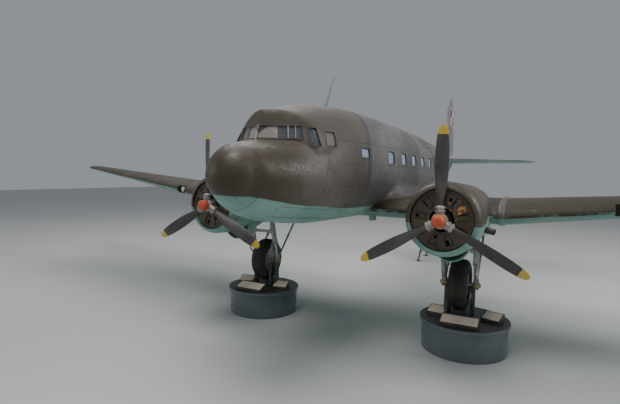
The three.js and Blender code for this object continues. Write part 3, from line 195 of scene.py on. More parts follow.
def soft_edges(piece, width, segments=2):
    """Live bevels along the sharp edges."""
    mod = piece.modifiers.new("soft_edges", "BEVEL")
    mod.width, mod.segments, mod.limit_method = width, segments, "ANGLE"
    return piece


def hull(name, start, end, inset=0.0):
    return loft(name, [skin_ring(s, inset) for s in even(start, end, int((end - start) / 0.1))])


def combine(piece, tool, how="DIFFERENCE", keep=False):
    """Joins, cuts or keeps the shared part of two closed pieces."""
    mod = piece.modifiers.new("combine", "BOOLEAN")
    mod.operation = how
    mod.solver = "MANIFOLD"
    mod.object = tool
    bpy.context.view_layer.objects.active = piece
    bpy.ops.object.modifier_apply(modifier=mod.name)
    if not keep:
        bpy.data.objects.remove(tool)
    return piece


def box(name, low, high):
    """A block added as a primitive and brought to its two corners."""
    bpy.ops.mesh.primitive_cube_add(size=1)
    piece = bpy.context.object
    piece.name = name
    low, high = Vector(low), Vector(high)
    piece.data.transform(Matrix.Translation((low + high) / 2) @ Matrix.Diagonal((*(high - low), 1)))
    return piece


def slab(x0, x1, s0, s1, h0, h1, name="slab"):
    return box(name, spot(x0, s0, h0), spot(x1, s1, h1))


def block(x, station, half_x, half_s, low, high, name):
    """A block given by its middle in plan, with its half widths."""
    return slab(x - half_x, x + half_x, station - half_s, station + half_s, low, high, name)


def copy_of(piece, name, mirror=False):
    twin = piece.copy()
    twin.data = piece.data.copy()
    twin.name = name
    bpy.context.collection.objects.link(twin)
    return mirrored(twin) if mirror else twin


def finish(piece, body, material, replaces=(), smooth=35):
    """Smooth shading, paint, and the body that the piece rides on."""
    select(piece)
    if smooth:
        bpy.ops.object.shade_smooth_by_angle(angle=math.radians(smooth))
    piece.data.materials.clear()
    piece.data.materials.append(material)
    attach(piece, body)
    if replaces:
        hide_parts(*replaces)
    return piece


def both_sides(piece, name, body, material, replaces=(), smooth=35):
    """Finishes a port piece and its mirrored copy; the braces in a name stand for the side."""
    for side in ("starboard", "port"):
        one = copy_of(piece, name.format(side), True) if side == "starboard" else piece
        one.name = name.format(side)
        finish(one, body.format(side), material, [r.format(side) for r in replaces], smooth)


def repaint(material, *names):
    """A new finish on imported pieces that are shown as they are."""
    for name in names:
        node[name].data.materials.clear()
        node[name].data.materials.append(material)


# Windshield planes, as on the real hull: each swept back and leant back
SWEEP, LEAN, DROP = math.radians(36), math.radians(20), math.radians(-1)
PANE_FOOT = spot(0, 1.04, 1.395)
pane_across = Vector((math.cos(SWEEP), math.sin(SWEEP), -math.sin(DROP))).normalized()
pane_ahead = pane_across.cross(Vector((0, math.tan(LEAN), 1))).normalized()
if pane_ahead.y > 0:
    pane_ahead.negate()
pane_up = pane_ahead.cross(pane_across).normalized()
if pane_up.z < 0:
    pane_up.negate()


def pane_block(name, across, up, ahead_range, mirror=False):
    piece = box(name, *zip(across, up, ahead_range))
    basis = Matrix((pane_across, pane_up, pane_ahead)).transposed().to_4x4()
    piece.data.transform(Matrix.Translation(PANE_FOOT) @ basis)
    if basis.determinant() < 0:
        piece.data.flip_normals()
    return mirrored(piece) if mirror else piece


def softer(a, b, reach):
    """The smaller of two sizes, with the corner between them rounded off."""
    share = min(max(0.5 + 0.5 * (b - a) / reach, 0), 1)
    return b + (a - b) * share - reach * share * (1 - share)


def eased(value, start, end):
    t = min(max((value - start) / (end - start), 0), 1)
    return t * t * (3 - 2 * t)


def cockpit_ring(station, inset, count=168):
    """The nose body, with the hood rising out of it behind the two windshield planes."""
    bottom, top, half = read(FUSELAGE, station)
    short = 1 - min(station, NOSE_ROUND) / NOSE_ROUND
    swell = math.sqrt(max(1 - short * short, 0))
    middle = NOSE_HEIGHT + ((bottom + top) / 2 - NOSE_HEIGHT) * swell
    power = 2.0 + 0.15 * eased(station, 0.3, 1.6)
    heart = spot(0, station, middle)
    ring = []
    for i in range(count):
        c, s = math.cos(math.tau * i / count), math.sin(math.tau * i / count)
        across = abs(c / (half * swell)) ** power
        size = lambda tall: (across + abs(s / tall) ** power) ** (-1 / power)
        reach = size((top - bottom) / 2 * swell) - inset
        if station > HOOD[0][0] and s > 0:
            cover = size(read(HOOD, station)[0] - middle) - inset
            cover = reach + (cover - reach) * eased(middle + s * cover, 0.95, 1.45)
            for sign in (1, -1):
                face = Vector((sign * pane_ahead.x, pane_ahead.y, pane_ahead.z))
                lead, slope = (heart - PANE_FOOT).dot(face) + inset, c * face.x + s * face.z
                if slope > 1e-6:
                    cover = softer(cover, -lead / slope, 0.05)
                elif lead > 0:
                    cover = 0
            rise = max(cover - reach, 0)
            reach += rise * eased(rise, 0, 0.07)
        ring.append(heart + Vector((c, 0, s)) * max(reach, 0.001))
    return ring


def cockpit_volume(name, inset, start=0.0, end=COCKPIT_END):
    stations = [NOSE_ROUND * t * t for t in even(0.03, 1, 20)] + even(0.65, 0.9, 5) + even(0.92, 2.2, 64)
    stations = [at for at in stations + even(2.28, 3.12, 11) if start < at < end]
    first = start if start > 0 else stations.pop(0)
    return loft(name, [cockpit_ring(at, inset) for at in [first, *stations, end]])


def side_at(station, height):
    bottom, top, half = read(FUSELAGE, station)
    middle = (bottom + top) / 2
    up = (height - middle) / (read(HOOD, station)[0] - middle)
    return half * (1 - up ** SECTION_POWER) ** (1 / SECTION_POWER)


SIDE_WINDOWS = (
    # stations of the front and rear edges at the sill, then at the top; sill; top; turn to the front
    (1.49, 1.734, 1.6, 1.791, 1.32, 1.675, 50),
    (1.885, 2.24, 1.985, 2.295, 1.35, 1.64, 12),
)


def side_window(name, row, grow=0.0, reach=0.26, mirror=False):
    front_sill, rear_sill, front_top, rear_top, sill, top, turned = row
    angle = math.radians(turned)
    corners = ((front_sill - grow, sill - grow), (rear_sill + grow, sill - grow),
               (rear_top + grow, top + grow), (front_top - grow, top + grow))
    sign = -1 if mirror else 1
    rings = [[spot(sign * (side_at(s, h) + out * math.cos(angle)), s - out * math.sin(angle), h)
              for s, h in corners] for out in (-reach, reach)]
    return loft(name, rings)


def rounded_slab(name, x0, x1, s0, s1, h0, h1, corner):
    """A block across the hull whose four long edges are rounded."""
    return bevelled(slab(x0, x1, s0, s1, h0, h1, name), corner, lambda way: abs(way.x) > 0.01)


# Nose and cockpit
cockpit_skin = cockpit_volume("cockpit_skin", 0.0)
combine(cockpit_skin, cockpit_volume("cockpit_room", WALL, 0.47, COCKPIT_END + 0.05))
PANE = {"inner": 0.035, "outer": 0.855, "low": 0.045, "high": 0.3}
for mirror in (False, True):
    combine(cockpit_skin, pane_block("opening", (PANE["inner"], PANE["outer"]), (PANE["low"], PANE["high"]),
                                     (-0.26, 0.26), mirror))
    for row in SIDE_WINDOWS:
        combine(cockpit_skin, side_window("opening", row, mirror=mirror))

# Cabin, with its doors cut from the same wall
DOOR_SILL, DOOR_HEAD, RUNNING_GAP, FREE_GAP, FREE_STEP = 0.5, 1.95, 0.008, 0.024, 0.022
HINGE_KNUCKLE, HINGE_TROUGH, HINGE_INSET = 0.026, 0.037, 0.024
DOORS = (
    # name, side, front edge, rear edge, hinged at the front edge
    ("cargo_door_front", 1, 9.75, 10.763, True),
    ("cargo_door_rear", 1, 10.787, 11.8, False),
    ("passenger_door", -1, 10.6, 11.34, True),
)


def post(name, x, station, low, high, radius, sides=24):
    bpy.ops.mesh.primitive_cylinder_add(vertices=sides, radius=radius, depth=high - low)
    piece = bpy.context.object
    piece.name = name
    piece.data.transform(Matrix.Translation(spot(x, station, (low + high) / 2)))
    return piece


cabin_skin = hull("cabin_skin", COCKPIT_END, CABIN_END)
combine(cabin_skin, hull("cabin_room", COCKPIT_END - 0.05, CABIN_END + 0.05, WALL))
whole_wall = copy_of(cabin_skin, "whole_wall")
inner_half = hull("inner_half", COCKPIT_END - 0.04, CABIN_END + 0.04, WALL / 2)
door_pieces = []
for name, side, front, rear, at_front in DOORS:
    station = front - RUNNING_GAP / 2 if at_front else rear + RUNNING_GAP / 2
    hinge_x = side * (read(FUSELAGE, station)[2] - HINGE_INSET)
    reach = (0.3, 1.4) if side > 0 else (-1.4, -0.3)
    leaf = copy_of(whole_wall, name + "_leaf")
    combine(leaf, slab(*reach, front, rear, DOOR_SILL, DOOR_HEAD), "INTERSECT")
    edge = (rear - FREE_STEP, rear + 0.001) if at_front else (front - 0.001, front + FREE_STEP)
    step = combine(slab(*reach, *edge, DOOR_SILL - 0.01, DOOR_HEAD + 0.01), copy_of(inner_half, "half"), "INTERSECT")
    combine(leaf, step)
    gaps = (RUNNING_GAP, FREE_GAP) if at_front else (FREE_GAP, RUNNING_GAP)
    combine(cabin_skin, slab(*reach, front - gaps[0], rear + gaps[1], DOOR_SILL - RUNNING_GAP,
                             DOOR_HEAD + RUNNING_GAP))
    combine(cabin_skin, post("trough", hinge_x, station, DOOR_SILL - RUNNING_GAP, DOOR_HEAD + RUNNING_GAP,
                             HINGE_TROUGH))
    for low in (0.74, 1.3):
        combine(leaf, post("notch", hinge_x, station, low + 0.09, low + 0.178, HINGE_TROUGH))
        combine(leaf, post("knuckle", hinge_x, station, low, low + 0.09, HINGE_KNUCKLE), "UNION")
        combine(cabin_skin, post("knuckle", hinge_x, station, low + 0.0905, low + 0.17, HINGE_KNUCKLE), "UNION")
        combine(cabin_skin, post("root", hinge_x - side * 0.03, station + (-0.03 if at_front else 0.03),
                                 low + 0.0905, low + 0.17, 0.03), "UNION")
    door_pieces.append((name, leaf))
bpy.data.objects.remove(inner_half)
bpy.data.objects.remove(whole_wall)

CABIN_WINDOWS = [(4.99 + 1.014 * i, 0.43, 0.31, 1.245) for i in range(7)] + [(3.45, 0.4, 0.21, 1.29)]
for side in (1, -1):
    for middle, width, height, level_at in CABIN_WINDOWS:
        combine(cabin_skin, rounded_slab("opening", side * 1.2 - 0.25, side * 1.2 + 0.25, middle - width / 2,
                                         middle + width / 2, level_at - height / 2, level_at + height / 2, 0.045))
tail_skin = hull("tail_skin", CABIN_END, CONE_END)


# Paint shaders. What several finishes share is a node group.
class Signal:
    """A shader node's output, reckoned with like a number; a | b is the greater of two."""

    def __init__(self, socket):
        self.socket, self.tree = socket, socket.id_data

    def step(self, operation, *others):
        return put(self.tree, "Math", dict(enumerate((self, *others))), operation=operation)

    def near(self, value, reach):
        return self.step("COMPARE", value, reach)

    def __add__(self, other):
        return self.step("ADD", other)

    def __sub__(self, other):
        return self.step("SUBTRACT", other)

    def __mul__(self, other):
        return self.step("MULTIPLY", other)

    def __pow__(self, other):
        return self.step("POWER", other)

    def __gt__(self, other):
        return self.step("GREATER_THAN", other)

    def __lt__(self, other):
        return self.step("LESS_THAN", other)

    def __or__(self, other):
        return self.step("MAXIMUM", other)

    def __abs__(self):
        return self.step("ABSOLUTE")


def feed(socket, value):
    """Links a node's input to a Signal, or sets it to a number, a vector or a colour."""
    if isinstance(value, Signal):
        socket.id_data.links.new(value.socket, socket)
    else:
        socket.default_value = (*value, 1) if socket.type == "RGBA" else value


def put(tree, kind, values=(), give=0, **settings):
    """Adds a shader node with its settings and inputs, and returns one of its outputs."""
    made = tree.nodes.new("ShaderNode" + kind)
    for key, value in settings.items():
        setattr(made, key, value)
    for key, value in dict(values).items():
        feed(made.inputs[key], value)
    return Signal(made.outputs[give])


def parts_of(vector):
    split = put(vector.tree, "SeparateXYZ", {0: vector}).socket.node
    return [Signal(part) for part in split.outputs]


def place_on(tree):
    """Where on the object a point lies: the whole vector, then x, y and z."""
    where = put(tree, "TexCoord", give="Object")
    return where, *parts_of(where)


def noise(place, scale, detail=4.0, rough=0.55, distortion=0.0):
    return put(place.tree, "TexNoise", {"Vector": place, "Scale": scale, "Detail": detail, "Roughness": rough,
                                        "Distortion": distortion}, "Fac")


def ranged(value, low, high, to_low=0.0, to_high=1.0, kind="SMOOTHSTEP"):
    return put(value.tree, "MapRange", {"Value": value, "From Min": low, "From Max": high, "To Min": to_low,
                                        "To Max": to_high}, "Result", interpolation_type=kind, clamp=True)


def mixed(share, a, b):
    return put(share.tree, "Mix", {0: share, 6: a, 7: b}, 2, data_type="RGBA")


def new_group(name, inputs, outputs):
    """A node group with its inputs as Signals and the sockets of its output."""
    group = bpy.data.node_groups.new(name, "ShaderNodeTree")
    for label, kind, value in inputs:
        group.interface.new_socket(label, in_out="INPUT", socket_type="NodeSocket" + kind).default_value = value
    for label, kind in outputs:
        group.interface.new_socket(label, in_out="OUTPUT", socket_type="NodeSocket" + kind)
    given = {socket.name: Signal(socket) for socket in group.nodes.new("NodeGroupInput").outputs}
    return group, given, group.nodes.new("NodeGroupOutput").inputs


# Weathering: broad fading, upright streaks, grime and small chips over one paint colour
weathering, given, result = new_group(
    "weathering",
    [("Paint", "Color", (0.2, 0.2, 0.2, 1)), ("Faded", "Color", (0.3, 0.3, 0.3, 1)),
     ("Grime", "Color", (0.05, 0.045, 0.04, 1)), ("Size", "Float", 1.0), ("Chips", "Float", 0.3)],
    [("Color", "Color"), ("Roughness", "Float"), ("Height", "Float")],
)
sized = put(weathering, "VectorMath", {0: place_on(weathering)[0], "Scale": given["Size"]}, operation="SCALE")
streaks = noise(put(weathering, "Mapping", {"Vector": sized, "Scale": (5.0, 5.0, 0.7)}), 1.6, 6, 0.6)
fine = noise(sized, 14, 8, 0.65)
tone = mixed(ranged(noise(sized, 0.9, 5, 0.6, 0.4), 0.38, 0.66), given["Paint"], given["Faded"])
tone = mixed(ranged(streaks, 0.5, 0.78, 0, 0.45), tone, given["Grime"])
tone = mixed(ranged(fine, 0.52, 0.8, 0, 0.3), tone, given["Faded"])
tone = mixed(ranged(noise(sized, 60, 3, 0.5), 0.68, 0.72) * given["Chips"], tone, (0.42, 0.42, 0.4))
feed(result["Color"], tone)
feed(result["Roughness"], ranged(fine, 0.3, 0.7, 0.42, 0.68))
feed(result["Height"], fine * 0.35)

# Skin seams: a lap line at every pitch along one coordinate, with a row of rivet heads at each side of it
seams, given, result = new_group(
    "skin_seams",
    [("Across", "Float", 0.0), ("Along", "Float", 0.0), ("Pitch", "Float", 1.0), ("Offset", "Float", 0.0),
     ("Width", "Float", 0.004), ("Rivet pitch", "Float", 0.05)],
    [("Line", "Float"), ("Rivet", "Float")],
)
from_line = (given["Across"] - given["Offset"]).step("PINGPONG", given["Pitch"] * 0.5)
beside = from_line - 0.022
between = given["Along"].step("PINGPONG", given["Rivet pitch"]) - given["Rivet pitch"] * 0.5
from_rivet = (beside * beside + between * between).step("SQRT")
feed(result["Line"], from_line < given["Width"])
feed(result["Rivet"], ranged(from_rivet, 0.005, 0.007, 1, 0))


def use(tree, group, **values):
    made = tree.nodes.new("ShaderNodeGroup")
    made.node_tree = group
    for key, value in values.items():
        feed(made.inputs[key], value)
    return {socket.name: Signal(socket) for socket in made.outputs}


def panel_lines(tree, *rows, width=0.003):
    """Lap lines and rivet heads of rows of (across, along, pitch, offset), laid over one another."""
    lines = rivets = None
    for across, along, pitch, offset in rows:
        seam = use(tree, seams, Across=across, Along=along, Pitch=pitch, Offset=offset, Width=width)
        lines = lines | seam["Line"] if lines else seam["Line"]
        rivets = rivets | seam["Rivet"] if rivets else seam["Rivet"]
    return lines, rivets


def new_material(name, metallic=0.0):
    material = bpy.data.materials.new(name)
    material.use_nodes = True
    shader = material.node_tree.nodes["Principled BSDF"]
    shader.inputs["Metallic"].default_value = metallic
    return material, material.node_tree, shader.inputs


def worn(tree, paint, faded, grime=(0.05, 0.045, 0.04), size=1.0, chips=0.3):
    return use(tree, weathering, Paint=paint, Faded=faded, Grime=grime, Size=size, Chips=chips)


def dress(shader, colour, rough, height=None, strength=0.4, distance=0.004):
    """Feeds a material's shader with its colour, roughness and relief."""
    feed(shader["Base Color"], colour)
    feed(shader["Roughness"], rough)
    if height:
        feed(shader["Normal"], put(height.tree, "Bump", {"Height": height, "Strength": strength, "Distance": distance}))


BROWN = (0.086, 0.071, 0.056), (0.128, 0.11, 0.092)
TURQUOISE = (0.165, 0.335, 0.285), (0.235, 0.42, 0.365), (0.09, 0.13, 0.11)


def hull_paint():
    material, tree, shader = new_material("hull_paint")
    where, x, y, z = place_on(tree)
    station, height = y + LENGTH / 2, z - SHAFT_HEIGHT
    # The lower colour's upper edge: a height between -0.5 and 2.0 over the station
    edge = put(tree, "FloatCurve", {"Value": ranged(station, 0, LENGTH, kind="LINEAR")})
    mapping = edge.socket.node.mapping
    points = mapping.curves[0].points
    points[0].location, points[1].location = (0, 0.384), (1, 0.8)
    for at, level_at in ((0.17, 0.46), (0.68, 0.39), (1.2, 0.29), (1.95, 0.23), (3.2, 0.12), (6.0, 0.1),
                         (9.5, 0.12), (12.6, 0.62), (16.0, 1.12), (19.1, 1.45)):
        points.new(at / LENGTH, (level_at + 0.5) / 2.5)
    mapping.update()
    wobble = noise(where, 3, 3) * 0.03 - 0.015
    upper_share = ranged(z + wobble - (edge * 2.5 + (SHAFT_HEIGHT - 0.5)), -0.012, 0.012)
    front = worn(tree, (0.046, 0.035, 0.018), (0.068, 0.053, 0.03), (0.036, 0.029, 0.02), 1.1, 0.15)
    middle = worn(tree, *BROWN, size=0.9, chips=0.25)
    rear = worn(tree, (0.115, 0.108, 0.104), (0.185, 0.172, 0.158), (0.07, 0.066, 0.062), 0.8, 0.2)
    lower = worn(tree, *TURQUOISE, size=1.2, chips=0.2)
    ragged = noise(where, 1.1, 5) * 1.6 - 0.8
    # The hood over the windshield is as brown as the nose
    nose_end = (z > 5.0) * 0.55 + 1.25
    colour = mixed(ranged(station + ragged - nose_end, -0.5, 0.5), front["Color"], middle["Color"])
    # A darker band painted round the hull behind the cockpit, raked back over the roof; slate behind it
    band_at = station - (z - (SHAFT_HEIGHT + 1.2) | 0) ** 2 * 0.5
    colour = mixed(ranged(band_at, 3.52, 3.55), colour, rear["Color"])
    ring = ranged(band_at, 3.54, 3.56) * ranged(band_at, 3.78, 3.76)
    colour = mixed(ring * 0.72, colour, (0.04, 0.041, 0.046))
    # The side behind the cockpit is painted darker towards the bottom, in ragged patches
    lower_darkening = ranged(z + ragged, 4.3, 3.5) * ranged(station, 2.6, 3.4)
    colour = mixed(lower_darkening * 0.65, colour, (0.06, 0.054, 0.048))
    colour = mixed(upper_share, lower["Color"], colour)
    ring_lines, ring_rivets = panel_lines(tree, (station, z, 1.014, 0.92), width=0.0035)
    row_lines, row_rivets = panel_lines(tree, (z, station, 0.45, SHAFT_HEIGHT + 1.045), width=0.0035)
    in_cabin = ranged(station, 2.2, 2.3)
    # The nose bowl's joint, the front edge of the crew's hatch to port, and two lap seams along the belly
    bowl = station.near(0.47, 0.006)
    hatch_at = abs(height - 0.5) ** 2 * 0.52 + 1.715
    hatch = station.near(hatch_at, 0.007) * height.near(0.82, 0.42) * (x > 0.3)
    over_seam = height - (station * -0.09 + 0.26)
    belly = over_seam.near(0, 0.095) * (abs(over_seam) > 0.087) * station.near(2.2, 1.25)
    lines = ring_lines | row_lines * in_cabin | bowl | hatch | belly
    rivets = ring_rivets | row_rivets * in_cabin
    colour = mixed(lines * 0.72, colour, (0.022, 0.02, 0.018))
    glossy_nose = ranged(station, 0.9, 1.6, -0.1, 0)
    # Sheets between frames pull in a little
    waves = noise(where, 1.7, 2) * 1.8
    dress(shader, colour, middle["Roughness"] + glossy_nose, middle["Height"] + rivets - lines + waves, 0.5, 0.006)
    return material


hull_material = hull_paint()
finish(cockpit_skin, "root", hull_material, ("cockpit_section", "nose_cap"))
finish(cabin_skin, "root", hull_material, ("cabin_section",))
finish(tail_skin, "root", hull_material, ("tail_cone",))
for name, leaf in door_pieces:
    finish(leaf, name, hull_material, (name,))


# ---- Wings, ailerons and flaps ----
# Three stressed-skin panels: a flat centre section and two outer panels, bolted together at a banded joint.
# The ailerons turn on pins, and the split flaps are plates of the lower skin hinged at their front edge.
JOINT_X, HALF_SPAN, WING_LE, ROOT_CHORD, TIP_ROUND, SEAM = 3.73, 14.405, 4.78, 4.32, 1.3, 0.0003
WING_SWEEP, DIHEDRAL, INCIDENCE = math.radians(15.5), math.radians(5), math.radians(2)
TRAILING = WING_LE + ROOT_CHORD
PIN_RADIUS = 0.012
chord_parts = [(1 - math.cos(math.pi * i / 22)) / 2 for i in range(23)]
FOIL = [(0.0, 0)] + [(x, 1) for x in chord_parts[1:]] + [(x, -1) for x in reversed(chord_parts[1:])]


def thickness_at(x, part):
    return 5 * part * (0.2969 * math.sqrt(max(x, 0)) - 0.126 * x - 0.3516 * x ** 2 + 0.2843 * x ** 3 - 0.1015 * x ** 4)


def camber_at(x, camber=0.02, peak=0.4):
    if x < peak:
        return camber / peak ** 2 * (2 * peak * x - x * x)
    return camber / (1 - peak) ** 2 * (1 - 2 * peak + 2 * peak * x - x * x)


def wing_plan(x):
    out = max(x - JOINT_X, 0)
    from_tip = min(max((x - (HALF_SPAN - TIP_ROUND)) / TIP_ROUND, 0), 1)
    swell = math.sqrt(max(1 - from_tip ** 2, 0.0016))
    edge = WING_LE + out * math.tan(WING_SWEEP)
    middle = edge * 0.45 + TRAILING * 0.55
    part = 0.14 + (0.09 - 0.14) * out / (HALF_SPAN - JOINT_X)
    return (middle - (middle - edge) * swell, middle + (TRAILING - middle) * swell,
            0.005 + out * math.tan(DIHEDRAL), part, edge)


def wing_point(x, chord_part, side, grow=0.0):
    le, te, height, part, edge = wing_plan(x)
    chord = te - le + 2 * grow
    half = max(thickness_at(chord_part, part) * chord, 0.004) + grow
    along = le - grow + chord_part * chord
    fall = math.sin(INCIDENCE) * (along - edge)
    return spot(x, along, height + camber_at(chord_part) * chord + side * half - fall)


def wing_loft(name, places, grow=0.0):
    return loft(name, [[wing_point(x, part, side, grow) for part, side in FOIL] for x in places])


def on_wing(x, station, side):
    le, te = wing_plan(x)[:2]
    return wing_point(x, (station - le) / (te - le), side)


def rod(name, start, end, radius, sides=24, end_radius=None):
    """A round bar between two points."""
    start, end = Vector(start), Vector(end)
    bpy.ops.mesh.primitive_cone_add(vertices=sides, radius1=radius,
                                    radius2=radius if end_radius is None else end_radius,
                                    depth=(end - start).length)
    piece = bpy.context.object
    piece.name = name
    way = (end - start).to_track_quat("Z", "Y").to_matrix().to_4x4()
    piece.data.transform(Matrix.Translation((start + end) / 2) @ way)
    return piece


# Panel lines and rivets along the span and the chord; brown above, turquoise below, split at the leading edge
def wing_paint(name, upper, across_pitch=0.75, chord_pitch=0.55):
    material, tree, shader = new_material(name)
    where, x, y, z = place_on(tree)
    facing = parts_of(put(tree, "NewGeometry", give="Normal"))[2]
    above = worn(tree, *upper, size=0.9, chips=0.35)
    below = worn(tree, *TURQUOISE, size=1.0, chips=0.2)
    # The lower colour wraps up round the nose of the wing to where the skin faces about a third down
    share = ranged(facing + (noise(where, 4, 3) * 0.1 - 0.05), -0.36, -0.33)
    # Paler brown patches over the upper paint: painted highlight patches
    sheen_patches = ranged(noise(where, 4.5, 6, 0.7), 0.6, 0.68) * 0.4
    oil = abs(x).near(3.4, 0.27) * 0.55
    colour = mixed(oil, mixed(sheen_patches, above["Color"], (0.2, 0.165, 0.11)), (0.022, 0.017, 0.011))
    lines, rivets = panel_lines(tree, (x, y, across_pitch, 0.2), (y, x, chord_pitch, 0.15))
    colour = mixed(lines * 0.5, mixed(share, below["Color"], colour), (0.03, 0.028, 0.025))
    dress(shader, colour, above["Roughness"], above["Height"] + rivets - lines, 0.45, 0.005)
    return material


wing_material = wing_paint("wing_paint", ((0.036, 0.027, 0.013), (0.056, 0.043, 0.023)))
FLAP_CHORD, FLAP_LIP, FLAP_THICK, FLAP_GAP = 0.76, 0.15, 0.02, 0.006
FLAPS = {"inner": (0.66, 2.05), "outer": (3.79, 8.23)}


def flap_room(x0, x1):
    """The space in the lower skin that a flap and its pin lie in."""
    front, rear = TRAILING - FLAP_CHORD - FLAP_LIP - FLAP_GAP, TRAILING - FLAP_LIP + FLAP_GAP
    lift = Vector((0, 0, FLAP_THICK + FLAP_GAP))
    rings = []
    for x in (x0 - FLAP_GAP, x1 + FLAP_GAP):
        a, b = on_wing(x, front, -1), on_wing(x, rear, -1)
        rings.append([a + lift, b + lift, b - Vector((0, 0, 0.2)), a - Vector((0, 0, 0.2))])
    return loft("flap_room", rings)


AILERON_IN, AILERON_OUT, AILERON_HINGE, END_GAP = 8.3, 13.3, TRAILING - 0.56, 0.016


def aileron_end(x):
    top, bottom = on_wing(x, AILERON_HINGE, 1), on_wing(x, AILERON_HINGE, -1)
    return (top + bottom) / 2, (top.z - bottom.z) / 2


def aileron_block(room):
    rings = []
    for x, extra in ((AILERON_IN, -END_GAP if room else 0), (AILERON_OUT, END_GAP if room else 0)):
        middle, half = aileron_end(x)
        front = middle.y - (half + room if room else 0)
        rings.append([Vector((x + extra, y, z)) for y, z in (
            (front, middle.z - 0.4), (front, middle.z + 0.4), (front + 1.5, middle.z + 0.4),
            (front + 1.5, middle.z - 0.4))])
    return loft("aileron_block", rings)


outer_places = [JOINT_X + SEAM, 8.3, 11.0] + [HALF_SPAN - TIP_ROUND + TIP_ROUND * math.sin(math.pi / 2 * i / 12)
                                              for i in range(13)]
wing_port = wing_loft("wing_skin_port", outer_places)
(inner_middle, inner_half_depth), (outer_middle, outer_half_depth) = aileron_end(AILERON_IN), aileron_end(AILERON_OUT)
aileron_port = copy_of(wing_port, "aileron_skin_port")
combine(aileron_port, aileron_block(0), "INTERSECT")
nose_bar = rod("nose_bar", inner_middle, outer_middle, inner_half_depth, 32, outer_half_depth)
combine(nose_bar, slab(AILERON_IN, AILERON_OUT, AILERON_HINGE - 0.4, AILERON_HINGE + 0.2, -2, 4), "INTERSECT")
combine(aileron_port, nose_bar, "UNION")
pin_way = (outer_middle - inner_middle).normalized() * 0.045
combine(aileron_port, rod("pin", inner_middle - pin_way, outer_middle + pin_way, PIN_RADIUS, 16), "UNION")
combine(wing_port, aileron_block(RUNNING_GAP))
combine(wing_port, rod("pin", inner_middle - pin_way * 1.01, outer_middle + pin_way * 1.01, PIN_RADIUS + 0.0013, 16))
combine(wing_port, flap_room(*FLAPS["outer"]))
# Landing light: a lamp in a rounded recess of the leading edge
LIGHT_X, LIGHT_HALF, LIGHT_DEPTH = 6.02, 0.2, 0.2
light_station = wing_plan(LIGHT_X)[0] + LIGHT_DEPTH
light_middle = wing_point(LIGHT_X, 0, 1).z - SHAFT_HEIGHT
combine(wing_port, slab(LIGHT_X - LIGHT_HALF, LIGHT_X + LIGHT_HALF, light_station - 0.4, light_station,
                        light_middle - 0.11, light_middle + 0.13))
light_place = spot(LIGHT_X, light_station, light_middle + 0.01)
wing_middle = wing_loft("wing_skin_centre", [-JOINT_X + SEAM, -1.2, 0, 1.2, JOINT_X - SEAM])
combine(wing_middle, flap_room(*FLAPS["inner"]))
combine(wing_middle, mirrored(flap_room(*FLAPS["inner"])))
finish(wing_middle, "root", wing_material, ("wing_centre",), 30)
both_sides(wing_port, "wing_skin_{}", "root", wing_material, ("wing_{}",), 30)
both_sides(aileron_port, "aileron_skin_{}", "aileron_{}", wing_material, ("aileron_{}",), 30)
flap_paint, tree, shader = new_material("flap_paint")
look = worn(tree, *TURQUOISE, size=1.3, chips=0.3)
where, x, y, z = place_on(tree)
lines, rivets = panel_lines(tree, (x, y, 0.37, 0.0))
dress(shader, mixed(lines * 0.5, look["Color"], (0.04, 0.05, 0.05)), look["Roughness"], look["Height"] + rivets)
repaint(flap_paint, "inner_flap_port", "inner_flap_starboard", "outer_flap_port", "outer_flap_starboard")

# Joint bands where the outer panels are bolted on: a flange standing a little proud of the skin
band_rows = ((-0.07, 0.001), (-0.064, 0.01), (-0.045, 0.019), (0, 0.023), (0.045, 0.019), (0.064, 0.01), (0.07, 0.001))
band = loft("wing_band_port", [[wing_point(JOINT_X + out, part, side, grow) for part, side in FOIL]
                               for out, grow in band_rows])
both_sides(band, "wing_band_{}", "root", wing_paint("band_paint", BROWN))


# ---- Tailplane, fin and control surfaces ----
# Light-alloy skins with fabric-covered rudder and elevators; each turns about pins on its hinge line.
STAB = {"height": 1.555, "span": 4.065, "root": 15.88, "tip": 17.05, "te": 18.42}
ELEVATOR = {"hinge": 17.5, "inner": 0.44, "outer": 3.9, "slant": 0.26, "gap": 0.036}


def stab_plan(x):
    out = abs(x) / STAB["span"]
    swell = math.sqrt(max(1 - max((out - 0.86) / 0.14, 0) ** 2, 0.003))
    le = STAB["root"] + (STAB["tip"] - STAB["root"]) * out
    middle = (le + STAB["te"]) / 2
    return middle - (middle - le) * swell, middle + (STAB["te"] - middle) * swell, 0.105 - 0.02 * out


def stab_ring(x):
    le, te, part = stab_plan(x)
    return [spot(x, le + along * (te - le), STAB["height"] + side * max(thickness_at(along, part) * (te - le), 0.004))
            for along, side in FOIL]


def elevator_half(x):
    le, te, part = stab_plan(x)
    return thickness_at((ELEVATOR["hinge"] - le) / (te - le), part) * (te - le)


def elevator_block(room):
    front = ELEVATOR["hinge"] - (elevator_half(ELEVATOR["inner"]) + room if room else 0)
    rear, gap = STAB["te"] + 0.1, ELEVATOR["gap"] if room else 0
    inner = [ELEVATOR["inner"] + ELEVATOR["slant"] * (s - ELEVATOR["hinge"]) - gap for s in (front, rear)]
    outer = ELEVATOR["outer"] + room
    return loft("elevator_block", [[spot(inner[0], front, h), spot(outer, front, h), spot(outer, rear, h),
                                    spot(inner[1], rear, h)] for h in (STAB["height"] - 0.2, STAB["height"] + 0.2)])


